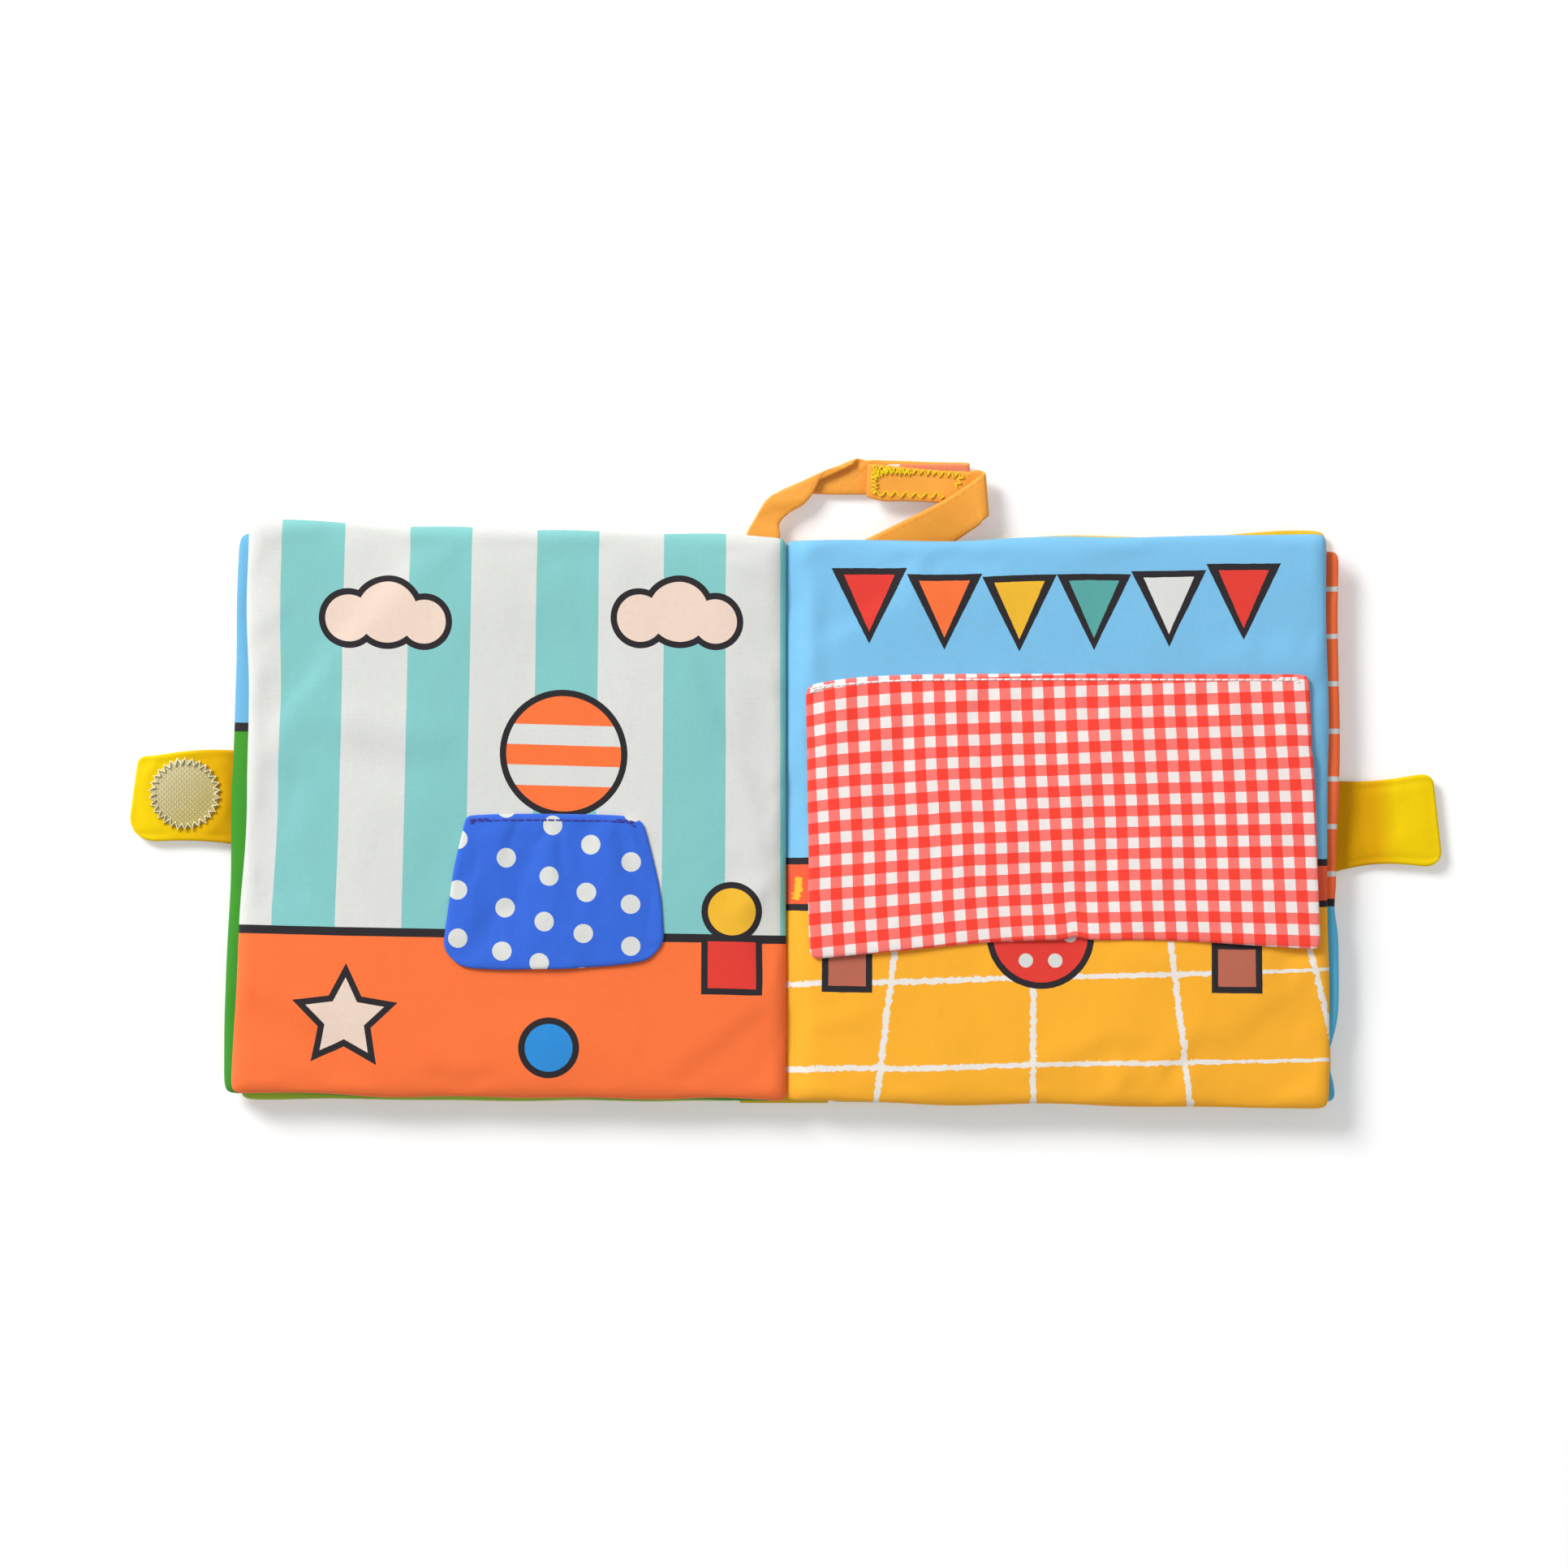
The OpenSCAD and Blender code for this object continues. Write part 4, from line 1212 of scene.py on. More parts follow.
@dataclass
class LiftFlap:
    """A cloth flap that is sewn along its upper edge and lies on the page."""

    name: str
    quad: Quad
    body: Body
    finish: ClothFinish
    replaces: tuple[str, ...]
    slot: str
    rests_on: bpy.types.Object
    columns: int = 60
    rows: int = 40
    foot_r: float = 6.0
    head_r: float = 1.2
    foot_bow: float = 0.0
    side_bow: float = 0.0
    head_lift: float = 0.0
    head_tilt: float = 0.0
    drop_left: float = 0.0
    drop_right: float = 0.0
    notch: float = 0.0
    curl: float = 0.8
    seed: float = 0.0
    thickness: float = 1.0
    true_print: bool = False

    @property
    def width(self) -> float:
        """Mean width."""
        return self.quad.width

    @property
    def height(self) -> float:
        """Mean height."""
        return self.quad.height

    def build(self) -> bpy.types.Object:
        """Model the flap from a grid, let it swell and dress it.

        Returns:
            The flap.
        """
        obj = new_grid(self.name, self.columns, self.rows)
        shares = [self._share(v.co.x, v.co.y) for v in obj.data.vertices]
        reshape(obj, lambda co: self._outline(*self._share(co.x, co.y)))
        layer = obj.data.uv_layers["cloth"]
        for loop in obj.data.loops:
            u, v = shares[loop.vertex_index]
            place = obj.data.vertices[loop.vertex_index].co / MM
            own = (u * self.width, v * self.height)
            layer.data[loop.index].uv = (place.x, place.y) if self.true_print else own
        thicken(obj, self.thickness, levels=0)
        head = (min(self.quad.head_in[1], self.quad.head_out[1]) - self.drop_left) * MM
        puff(obj, 1.0, 0.35, lambda co: co.y > head - 0.0018)
        apply_modifier(obj, "SUBSURF", levels=1, render_levels=1)
        smooth_out(obj)
        obj.data.materials.append(self.finish.make())
        finish_piece(obj, self.body, self.replaces)
        self.width * MM
        self.height * MM
        return obj

    def stitch_line(self, start: float, end: float, below: float, rise: float) -> list[Vector]:
        """Points of a seam that follows the flap's upper edge.

        Args:
            start: share of the width at which it starts.
            end: share of the width at which it ends.
            below: its distance from the edge, in millimetres.
            rise: its height over the flap's middle.

        Returns:
            The points, in millimetres.
        """
        line = []
        for i in range(61):
            x, y, z = self._outline(start + (end - start) * i / 60, 1.0)
            line.append(Vector((x, y - below, z + rise)))
        return line

    def _share(self, u: float, v: float) -> Point:
        """Round the corners of the flap's own square."""
        w, h = self.width, self.height
        x, y = round_corner(u * w, v * h, w, h, self.foot_r if v < 0.5 else self.head_r)
        return x / w, y / h

    def _outline(self, u: float, v: float) -> tuple[float, float, float]:
        """Place a point of the flap's own square."""
        px, py = self.quad.at(u, v)
        py -= self.foot_bow * 4 * u * (1 - u) * (1 - v) ** 2
        head = self.head_lift - self.head_tilt * u
        head -= self.drop_left * math.exp(-u * self.width / 14)
        head -= self.drop_right * math.exp(-(1 - u) * self.width / 3)
        py += head * v * v
        py += self.notch * math.exp(-(((u - 0.52) / 0.012) ** 2)) * (1 - v) ** 6
        px += self.side_bow * (u - 0.5) * 2 * math.sin(math.pi * v)
        px += 0.6 * noise.noise(Vector((v * 3, u * 1.5, self.seed))) * (1 - v * 0.6)
        py += 0.8 * noise.noise(Vector((u * 3.2, v * 1.5, self.seed + 4))) * (1 - v) ** 0.6
        z = BOOK.flap_z + BOOK.flap_t / 2 - 0.15
        z += self.curl * (1 - v) ** 3 * (0.4 + 0.6 * noise.noise(Vector((u * 3, 2.2, self.seed))))
        z += 0.5 * (1 - v) * noise.noise(Vector((u * 4, v * 2.5, self.seed + 8)))
        return px, py, z


# Tabs and fastening pads


@dataclass
class SideTab:
    """A cloth tab that sticks out from a cover's outer seam."""

    name: str
    quad: Quad
    body: Body
    node: str
    low_z: float
    finish: ClothFinish
    foot_r: float
    head_r: float
    pad_mid: Point | None = None
    rise: float = 0.0
    head_bow: float = 0.0
    foot_bow: float = 0.0
    valley: float = 0.0
    thickness: float = 1.5

    def build(self) -> bpy.types.Object:
        """Model the tab from a grid and dress it.

        Returns:
            The tab.
        """
        obj = new_grid(self.name, 34, 26)
        w, h = self.quad.width, self.quad.head_in[1] - self.quad.foot_in[1]
        reshape(obj, lambda co: self._outline(co, w, h))
        scale_uv(obj, w, h)
        thicken(obj, self.thickness)
        smooth_out(obj)
        obj.data.materials.append(self.finish.make())
        finish_piece(obj, self.body, (self.node,))
        return obj

    def _outline(self, co: Vector, w: float, h: float) -> tuple[float, float, float]:
        """Place a grid point on the tab."""
        r = (self.foot_r if co.y < 0.5 else self.head_r) if co.x > 0.5 else 0.6
        x, y = round_corner(co.x * w, co.y * h, w, h, r)
        u, v = x / w, y / h
        px, py = self.quad.at(u, v)
        bow = math.sin(math.pi * min(1.0, u * 1.15))
        py += bow * (self.head_bow * v**2 + self.foot_bow * (1 - v) ** 2)
        z = self.low_z + self.thickness / 2 + self.rise * ease(u)
        z += 0.7 * noise.noise(Vector((u * 3.1, v * 2.4, px * 0.01))) * math.sin(math.pi * u)
        z -= self.valley * math.exp(-(((u - 0.4) / 0.13) ** 2))
        z -= 0.35 * math.exp(-(((min(x, w - x + 1, y, h - y) - 2.6) / 0.7) ** 2)) if u > 0.15 else 0.0
        if self.pad_mid:
            away = math.hypot(px - self.pad_mid[0], py - self.pad_mid[1])
            z += 0.5 * math.exp(-(((away - 12.5) / 2.2) ** 2)) - 0.25 * math.exp(-((away / 8) ** 2))
        return px, py, z


@dataclass
class RoundPad:
    """A round fastening pad; its ring of zigzag stitches, where it has one, is a thread of its own."""

    name: str
    mid: Point
    low_z: float
    body: Body
    node: str
    radius: float = 11.0
    thickness: float = 0.7

    def build(self) -> bpy.types.Object:
        """Model the pad from a disc and dress it.

        Returns:
            The pad.
        """
        deselect()
        bpy.ops.mesh.primitive_circle_add(
            vertices=56, radius=self.radius * MM, fill_type="NGON", location=(0, 0, 0)
        )
        obj = bpy.context.active_object
        obj.name = obj.data.name = self.name
        bpy.ops.object.mode_set(mode="EDIT")
        bpy.ops.mesh.select_all(action="SELECT")
        for step in (0.35, 1.1, 1.6, 2.6, 2.6):
            bpy.ops.mesh.inset(thickness=step * MM)
        bpy.ops.mesh.select_all(action="SELECT")
        bpy.ops.mesh.extrude_region_move(TRANSFORM_OT_translate={"value": (0, 0, self.thickness * MM)})
        bpy.ops.object.mode_set(mode="OBJECT")
        for vertex in obj.data.vertices:
            x, y, z = (c / MM for c in vertex.co)
            far = math.hypot(x, y) / self.radius
            sunk = 0.22 * math.exp(-(((far - 0.87) / 0.07) ** 2)) if z > self.thickness / 2 else 0
            drop = 0.4 * max(0.0, far - 0.95) / 0.05 if z > self.thickness / 2 else 0
            z += self.low_z - sunk - drop * 0.6
            z += 0.2 * (1 - far * far) * noise.noise(Vector((x * 0.12, y * 0.12, 3)))
            vertex.co = Vector((x + self.mid[0], y + self.mid[1], z)) * MM
        smooth_out(obj)
        uv_from_place(obj)
        obj.data.materials.append(PATCH_CLOTH.make())
        return finish_piece(obj, self.body, (self.node,))


@dataclass
class Thread:
    """Sewing thread that shows as one or more raised lines."""

    name: str
    lines: list[list[Vector]]
    body: Body
    finish: ClothFinish
    slot: str
    nodes: tuple[str, ...] = ()
    radius: float = 0.26

    def build(self) -> bpy.types.Object:
        """Lay the thread as curves and turn them into a mesh.

        Returns:
            The thread.
        """
        curve = bpy.data.curves.new(self.name, "CURVE")
        curve.dimensions = "3D"
        curve.bevel_depth = self.radius * MM
        curve.bevel_resolution = 1
        curve.use_fill_caps = True
        for line in self.lines:
            spline = curve.splines.new("POLY")
            spline.points.add(len(line) - 1)
            for point, place in zip(spline.points, line):
                point.co = (*(place * MM), 1)
        obj = bpy.data.objects.new(self.name, curve)
        bpy.context.collection.objects.link(obj)
        activate(obj)
        bpy.ops.object.convert(target="MESH")
        obj = bpy.context.active_object
        obj.name = obj.data.name = self.name
        bpy.ops.object.shade_smooth()
        uv_from_place(obj)
        obj.data.materials.append(self.finish.make())
        return finish_piece(obj, self.body, self.nodes)


def run_stitches(points: Sequence[Vector], pitch: float, gap: float, dip: float) -> list[list[Vector]]:
    """Cut a line into single stitches whose ends dip into the cloth.

    Args:
        points: the line.
        pitch: length from one stitch to the next.
        gap: the space between two stitches.
        dip: how deep the ends go.

    Returns:
        A short line for each stitch.
    """
    lengths = [0.0]
    for a, b in zip(points, points[1:]):
        lengths.append(lengths[-1] + (b - a).length)

    def at(s: float) -> Vector:
        """The point at a length along the line."""
        s = min(max(s, 0.0), lengths[-1])
        for i in range(1, len(points)):
            if s <= lengths[i]:
                t = (s - lengths[i - 1]) / max(lengths[i] - lengths[i - 1], 1e-9)
                return points[i - 1].lerp(points[i], t)
        return points[-1].copy()

    made = []
    for k in range(int(lengths[-1] / pitch)):
        start, end = k * pitch, (k + 1) * pitch - gap
        down = Vector((0, 0, dip))
        middle = [at(start + 0.25), at((start + end) / 2), at(end - 0.25)]
        made.append([at(start) - down, *middle, at(end) - down])
    return made


def zigzag_ring(mid: Point, z: float, radius: float, half: float, count: int) -> list[list[Vector]]:
    """A ring of uneven zigzag stitches that runs a little past its own start."""
    ring = []
    for i in range(int(count * 2.7)):
        angle = math.pi * i / count
        shake = noise.noise_vector(Vector((i * 0.9, radius, 3.0)))
        r = radius + (half if i % 2 else -half) * (1 + 0.35 * shake.x)
        angle += 0.35 * shake.y / count
        lift = 0.1 if i % 2 else 0.25
        ring.append(Vector((mid[0] + r * math.cos(angle), mid[1] + r * math.sin(angle), z + lift)))
    return [ring]


# Handle


@dataclass(frozen=True)
class Rib:
    """A straight line across a strap from one edge to the other, in millimetres."""

    near: tuple[float, float, float]
    far: tuple[float, float, float]

    @property
    def numbers(self) -> tuple[float, ...]:
        """Both ends in one row."""
        return (*self.near, *self.far)


def turn_ribs(near: Point, far: Point, low_z: float, radius: float, skew: float, count: int = 7) -> list[Rib]:
    """The ribs of a bend where a strap turns back beneath itself.

    Args:
        near: one end of the bend's axis, from above.
        far: its other end; the strap bulges to the left of the way there.
        low_z: height of the strap's middle below the bend.
        radius: radius of the strap's middle.
        skew: how far the strap drifts along the axis for each millimetre round the bend.
        count: number of ribs.

    Returns:
        The ribs from the upper layer down to the lower one.
    """
    along = Vector((far[0] - near[0], far[1] - near[1])).normalized()
    out = Vector((-along.y, along.x))
    ribs = []
    for i in range(count):
        angle = math.pi * i / (count - 1)
        dx, dy = out * radius * math.sin(angle) + along * skew * radius * angle
        z = low_z + radius + radius * math.cos(angle)
        ribs.append(Rib((near[0] + dx, near[1] + dy, z), (far[0] + dx, far[1] + dy, z)))
    return ribs


@dataclass
class HandleStrap:
    """A flat webbing strap swept over smooth ribs."""

    name: str
    ribs: list[Rib]
    node: str
    finish: ClothFinish
    steps_per_rib: int = 7
    thickness: float = 1.0
    seed: float = 0.0

    def build(self) -> bpy.types.Object:
        """Model the strap from a grid laid over its ribs.

        Returns:
            The strap.
        """
        rows = [rib.numbers for rib in self.ribs]
        mids = [Vector(rib.near).lerp(Vector(rib.far), 0.5) for rib in self.ribs]
        knots = [0.0]
        for a, b in zip(mids, mids[1:]):
            knots.append(knots[-1] + max((b - a).length, 0.2))
        obj = new_grid(self.name, self.steps_per_rib * (len(rows) - 1), 10)
        reshape(obj, lambda co: self._place(rows, knots, co))
        for item in obj.data.uv_layers["cloth"].data:
            item.uv = (self._knot(knots, item.uv[0]), item.uv[1] * 11)
        thicken(obj, self.thickness)
        smooth_out(obj)
        obj.data.materials.append(self.finish.make())
        return finish_piece(obj, Body.BACK, (self.node,))

    @staticmethod
    def _knot(knots: list[float], t: float) -> float:
        """Length along the strap at a share of its ribs."""
        place = min(max(t, 0.0), 1.0) * (len(knots) - 1)
        i = min(int(place), len(knots) - 2)
        return knots[i] + (knots[i + 1] - knots[i]) * (place - i)

    def _place(self, rows: list[tuple[float, ...]], knots: list[float], co: Vector) -> Vector:
        """A point of the strap.

        Args:
            rows: the ends of each rib.
            knots: length along the strap at each rib.
            co: shares along and across.

        Returns:
            The point, in millimetres.
        """
        s = self._knot(knots, co.x)
        i = max(k for k in range(len(knots) - 1) if knots[k] <= s + 1e-9)
        h = knots[i + 1] - knots[i]
        f = (s - knots[i]) / h
        ends = []
        for k in range(6):
            p, q = rows[i][k], rows[i + 1][k]
            m0, m1 = self._slope(rows, knots, i, k) * h, self._slope(rows, knots, i + 1, k) * h
            f2, f3 = f * f, f * f * f
            from_here = (2 * f3 - 3 * f2 + 1) * p + (f3 - 2 * f2 + f) * m0
            ends.append(from_here + (3 * f2 - 2 * f3) * q + (f3 - f2) * m1)
        near, far = Vector(ends[:3]), Vector(ends[3:])
        point = near.lerp(far, co.y)
        point.z += 0.22 * noise.noise(Vector((s * 0.12, co.y * 1.6, self.seed))) * math.sin(math.pi * co.x)
        point.z -= 0.12 * (2 * co.y - 1) ** 6
        return point

    @staticmethod
    def _slope(rows: list[tuple[float, ...]], knots: list[float], i: int, k: int) -> float:
        """Slope of one number at a rib, fair to uneven spacing."""
        if i == 0 or i == len(rows) - 1:
            j = 1 if i == 0 else i
            return (rows[j][k] - rows[j - 1][k]) / (knots[j] - knots[j - 1])
        before, after = knots[i] - knots[i - 1], knots[i + 1] - knots[i]
        left, right = (rows[i][k] - rows[i - 1][k]) / before, (rows[i + 1][k] - rows[i][k]) / after
        return (left * after + right * before) / (before + after)


@dataclass
class StrapPad:
    """An oblong fastening pad between the two straps."""

    name: str
    low: tuple[float, float, float]
    size: tuple[float, float, float]
    node: str
    finish: ClothFinish

    def build(self) -> bpy.types.Object:
        """Model the pad from a grid with round edges.

        Returns:
            The pad.
        """
        obj = new_grid(self.name, 16, 6)
        w, h, t = self.size
        x0, y0, z0 = self.low

        def place(co: Vector) -> tuple[float, float, float]:
            """Place a grid point on the pad."""
            x, y = round_corner(co.x * w, co.y * h, w, h, 1.2)
            return x0 + x, y0 + y, z0 + t / 2

        reshape(obj, place)
        scale_uv(obj, w, h)
        thicken(obj, t * 0.9)
        obj.data.materials.append(self.finish.make())
        return finish_piece(obj, Body.BACK, (self.node,))


# Spine


@dataclass
class SpineCloth:
    """The strip of cover cloth between the two boards."""

    name: str = "spine_cloth"
    columns: int = 72
    rows: int = 40

    def build(self) -> bpy.types.Object:
        """Model the strip with close columns at its middle.

        Returns:
            The strip.
        """
        obj = new_grid(self.name, self.columns, self.rows)
        half = BOOK.spine_w / 2 + 0.4

        def place(co: Vector) -> tuple[float, float, float]:
            """Place a grid point on the strip."""
            t = co.x * 2 - 1
            x = half * (0.25 * t + 0.75 * t**3)
            y = FOOT - 1 + co.y * (HEAD - 1.6 - FOOT + 1)
            z = BOOK.leaf_t / 2 + 0.12 * noise.noise(Vector((x * 0.15, y * 0.05, 4)))
            return x, y, z

        reshape(obj, place)
        scale_uv(obj, BOOK.spine_w, BOOK.page_h)
        thicken(obj, BOOK.leaf_t - 0.7)
        smooth_out(obj)
        obj.data.materials.append(COVER_CLOTH.make())
        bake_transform(obj)
        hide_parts("spine")
        LOG.info("%s bends between the covers", obj.name)
        return obj


# Studio


@dataclass
class Studio:
    """Pale floor, soft lamps and the camera above the book."""

    frame_mm: float = 463.7
    lens: float = 180.0
    centre: Point = (0.0, 0.0)

    def build(self) -> None:
        """Make the floor, the lamps, the world and the camera."""
        bpy.context.scene.view_settings.view_transform = "Standard"
        self._floor()
        self._lamp("key", (-2.1, 2.1, 2.0), size=1.4, power=136.0)
        self._lamp("fill", (1.8, -1.0, 2.8), size=2.0, power=9.0)
        self._world()
        self._camera()

    def _floor(self) -> None:
        """A plain white floor that keeps the book's shadow."""
        deselect()
        bpy.ops.mesh.primitive_plane_add(size=6, location=(0, 0, -0.0002))
        floor = bpy.context.active_object
        floor.name = "floor"
        material = bpy.data.materials.new("pale_floor")
        material.use_nodes = True
        graph = Graph(material.node_tree)
        shader = material.node_tree.nodes["Principled BSDF"]
        shader.inputs["Base Color"].default_value = (0.97, 0.97, 0.97, 1)
        shader.inputs["Roughness"].default_value = 0.9
        path = graph.node("LightPath")
        seen = graph.math("MAXIMUM", path.outputs["Is Camera Ray"], path.outputs["Is Glossy Ray"])
        seen = graph.math("MAXIMUM", seen, path.outputs["Is Transmission Ray"])
        glow = graph.node("Emission")
        glow.inputs["Strength"].default_value = 1.6
        blend = graph.node("MixShader")
        graph.put(blend.inputs[0], graph.mul(seen, 0.15))
        graph.put(blend.inputs[1], shader.outputs[0])
        graph.put(blend.inputs[2], glow.outputs[0])
        graph.put(material.node_tree.nodes["Material Output"].inputs[0], blend.outputs[0])
        floor.data.materials.append(material)

    def _lamp(self, name: str, place: tuple[float, float, float], size: float, power: float) -> None:
        """Add a soft square lamp that looks at the book."""
        data = bpy.data.lights.new(name, "AREA")
        data.shape = "SQUARE"
        data.size = size
        data.energy = power
        lamp = bpy.data.objects.new(name, data)
        lamp.location = place
        lamp.rotation_euler = (Vector((0, 0, 0)) - Vector(place)).to_track_quat("-Z", "Y").to_euler()
        bpy.context.collection.objects.link(lamp)

    def _world(self) -> None:
        """Even light from all round, and white behind."""
        world = bpy.data.worlds.new("studio")
        bpy.context.scene.world = world
        world.use_nodes = True
        graph = Graph(world.node_tree)
        back = world.node_tree.nodes["Background"]
        back.inputs["Color"].default_value = (1, 1, 1, 1)
        path = graph.node("LightPath")
        seen = graph.math("MAXIMUM", path.outputs["Is Camera Ray"], path.outputs["Is Transmission Ray"])
        strength = graph.add(0.4, graph.mul(seen, 0.6))
        graph.put(back.inputs["Strength"], strength)

    def _camera(self) -> None:
        """Look straight down on the book through a long lens."""
        data = bpy.data.cameras.new("camera")
        data.lens = self.lens
        data.sensor_width = 36
        height = self.frame_mm * MM * self.lens / 36
        camera = bpy.data.objects.new("camera", data)
        camera.location = (self.centre[0] * MM, self.centre[1] * MM, height + BOOK.page_z * MM)
        data.clip_end = 20
        bpy.context.collection.objects.link(camera)
        bpy.context.scene.camera = camera


# The whole book


def nodes(side: str, names: str) -> tuple[str, ...]:
    """The part's nodes of one leaf, from their short names."""
    return tuple(f"{side}_{name}" for name in names.split())


@dataclass
class ClothBook:
    """All pieces of the open cloth book."""

    pieces: dict[str, bpy.types.Object] = field(default_factory=dict)

    def build(self) -> None:
        """Build the halves, the flaps, the tabs and the handle in order."""
        for leaf in self._leaves():
            self.pieces[leaf.name] = leaf.build()
        self.pieces["spine_cloth"] = SpineCloth().build()
        self._flaps()
        self._tabs()
        self._handle()

    def _leaves(self) -> Iterable[PaddedLeaf]:
        """The six padded leaves, from the covers up."""
        t = BOOK.leaf_t
        left = nodes("left", "leaf stripes wall line floor ink peach orange white red blue yellow")
        right = nodes("right", "leaf wall lines band floor tile_lines ink red orange yellow teal white brown")
        left_under = nodes("left_under", "leaf sky line grass")
        right_under = nodes("right_under", "leaf tiles joints line pool")
        front, back = Body.FRONT, Body.BACK
        coarse = {"columns": 44, "rows": 46, "crown": 0.0}
        yield PaddedLeaf(
            "front_cover_cloth", FRONT_COVER, 0, front, COVER_CLOTH, ("front_cover",), "cover_yellow",
            seed=1.0, lining=LIME_CLOTH, **coarse,
        )
        yield PaddedLeaf(
            "back_cover_cloth", BACK_COVER, 0, back, COVER_CLOTH, ("back_cover",), "cover_yellow",
            seed=2.0, **coarse,
        )
        yield PaddedLeaf(
            "left_under_cloth", LEFT_UNDER, t, front, LEFT_UNDER_CLOTH, left_under, "sky", seed=3.0, **coarse
        )
        yield PaddedLeaf(
            "right_under_cloth", RIGHT_UNDER, t, back, RIGHT_UNDER_CLOTH, right_under, "tile_orange",
            columns=60, crown=0.0, seed=4.0, fore_rise=1.6, nips=((-80.6, 2.6, 9.0), (-37.0, 0.9, 5.0)),
        )
        yield PaddedLeaf(
            "left_page_cloth", LEFT_PAGE, 2 * t, front, LEFT_PAGE_CLOTH, left, "cloth_white",
            roll=0.3, roll_w=2.4, seed=5.0, creases=LEFT_CREASES, nips=((-6.0, 1.7, 36.0),),
        )
        yield PaddedLeaf(
            "right_page_cloth", RIGHT_PAGE, 2 * t, back, RIGHT_PAGE_CLOTH, right, "wall_blue",
            roll=3.2, roll_w=9.0, seed=6.0, creases=RIGHT_CREASES,
        )

    def _flaps(self) -> None:
        """The dotted flap and the gingham flap, with their seams."""
        mid, top = DOT_MID, DOT_TOP
        corners = Quad((mid - 33, top - 44.5), (mid + 33, top - 42.1), (mid + 26.25, top), (mid - 26.25, top))
        dot = LiftFlap(
            "dot_flap_cloth", corners, Body.DOT, DOT_CLOTH, ("dot_flap", "dots"), "flap_blue",
            self.pieces["left_page_cloth"],
            columns=36, rows=26, foot_r=7, foot_bow=2.4, side_bow=1.2, head_lift=0.9, head_tilt=1.3,
            drop_left=1.4, drop_right=2.2, seed=11, true_print=True,
        )
        self.pieces[dot.name] = dot.build()
        self._seam(dot, 1.9, 0.25, BLUE_THREAD, "thread_blue")
        left, top = CHECK_LEFT, CHECK_TOP
        corners = Quad((left + 1.2, top - 84.9), (left + 152, top - 82.3), (left + 149, top), (left, top))
        check = LiftFlap(
            "check_flap_cloth", corners, Body.CHECK, CHECK_CLOTH,
            nodes("check", "flap bands_down bands_across squares"), "light_red", self.pieces["right_page_cloth"],
            columns=64, foot_r=2.4, head_r=2.2, foot_bow=-4.4, head_lift=-0.3, head_tilt=0.4,
            drop_left=3.9, notch=1.3, seed=12,
        )
        self.pieces[check.name] = check.build()
        self._seam(check, 1.8, 0.3, WHITE_THREAD, "thread_white")

    def _seam(self, flap: LiftFlap, below: float, radius: float, finish: ClothFinish, slot: str) -> None:
        """Sew a flap along its upper edge, and over twice at both ends.

        Args:
            flap: the flap.
            below: the seam's distance from the edge, in millimetres.
            radius: the thread's radius.
            finish: the thread's look.
            slot: the thread's slot name; it is not used.
        """
        name = f"{flap.body.value}_stitching"
        edge = 1.4 / flap.width
        lines = run_stitches(flap.stitch_line(edge, 1 - edge, below, 0.5), 2.3, 0.3, 0.35)
        for start, end in ((edge, 9 / flap.width), (1 - 9 / flap.width, 1 - edge)):
            lines += run_stitches(flap.stitch_line(start, end, below - 0.55, 0.52), 1.9, 0.3, 0.3)
        for start, end in ((edge, 4 / flap.width), (1 - 4 / flap.width, 1 - edge)):
            lines += run_stitches(flap.stitch_line(start, end, below + 0.5, 0.52), 1.7, 0.3, 0.3)
        nodes_shown = (f"{flap.body.value}_thread",)
        self.pieces[name] = Thread(name, lines, flap.body, finish, slot, nodes_shown, radius).build()

    def _tabs(self) -> None:
        """The two side tabs and their fastening pads."""
        t = BOOK.leaf_t * 0.5 - 0.7
        seam, mid = -W - 1, FOOT + BOOK.page_h * 0.533
        pad = (seam - 16.3, mid + 2.1)
        corners = Quad(
            (seam + 5, mid - 13.9), (seam - 33.7, mid - 12.0), (seam - 30.2, mid + 13.3), (seam + 5, mid + 14.5)
        )
        tab = SideTab(
            "left_tab_cloth", corners, Body.FRONT, "left_tab", t, LEFT_TAB_CLOTH, 9.0, 2.6, pad,
            head_bow=1.2, foot_bow=1.1,
        )
        self.pieces[tab.name] = tab.build()
        self.pieces["hook_pad"] = RoundPad("hook_pad", pad, t + 1.5, Body.FRONT, "hook_patch", 10.1).build()
        ring = zigzag_ring(pad, t + 2.15, 9.7, 0.95, 30)
        name = "hook_pad_stitching"
        thread = Thread(name, ring, Body.FRONT, PALE_THREAD, "thread_yellow", ("hook_patch_thread",), 0.27)
        self.pieces[name] = thread.build()
        seam, mid = W + 1.4, FOOT + BOOK.page_h * 0.488
        corners = Quad(
            (seam - 5, mid - 15.8), (seam + 33.7, mid - 11.5), (seam + 30.7, mid + 15.5), (seam - 5, mid + 14)
        )
        tab = SideTab(
            "right_tab_cloth", corners, Body.BACK, "right_tab", t, RIGHT_TAB_CLOTH, 4.6, 3.2,
            head_bow=-1.3, foot_bow=2.4, valley=0.7, rise=0.6,
        )
        self.pieces[tab.name] = tab.build()
        pad = (seam + 34 * 0.52, mid + 1)
        self.pieces["loop_pad"] = RoundPad("loop_pad", pad, t - 0.8, Body.BACK, "loop_patch").build()

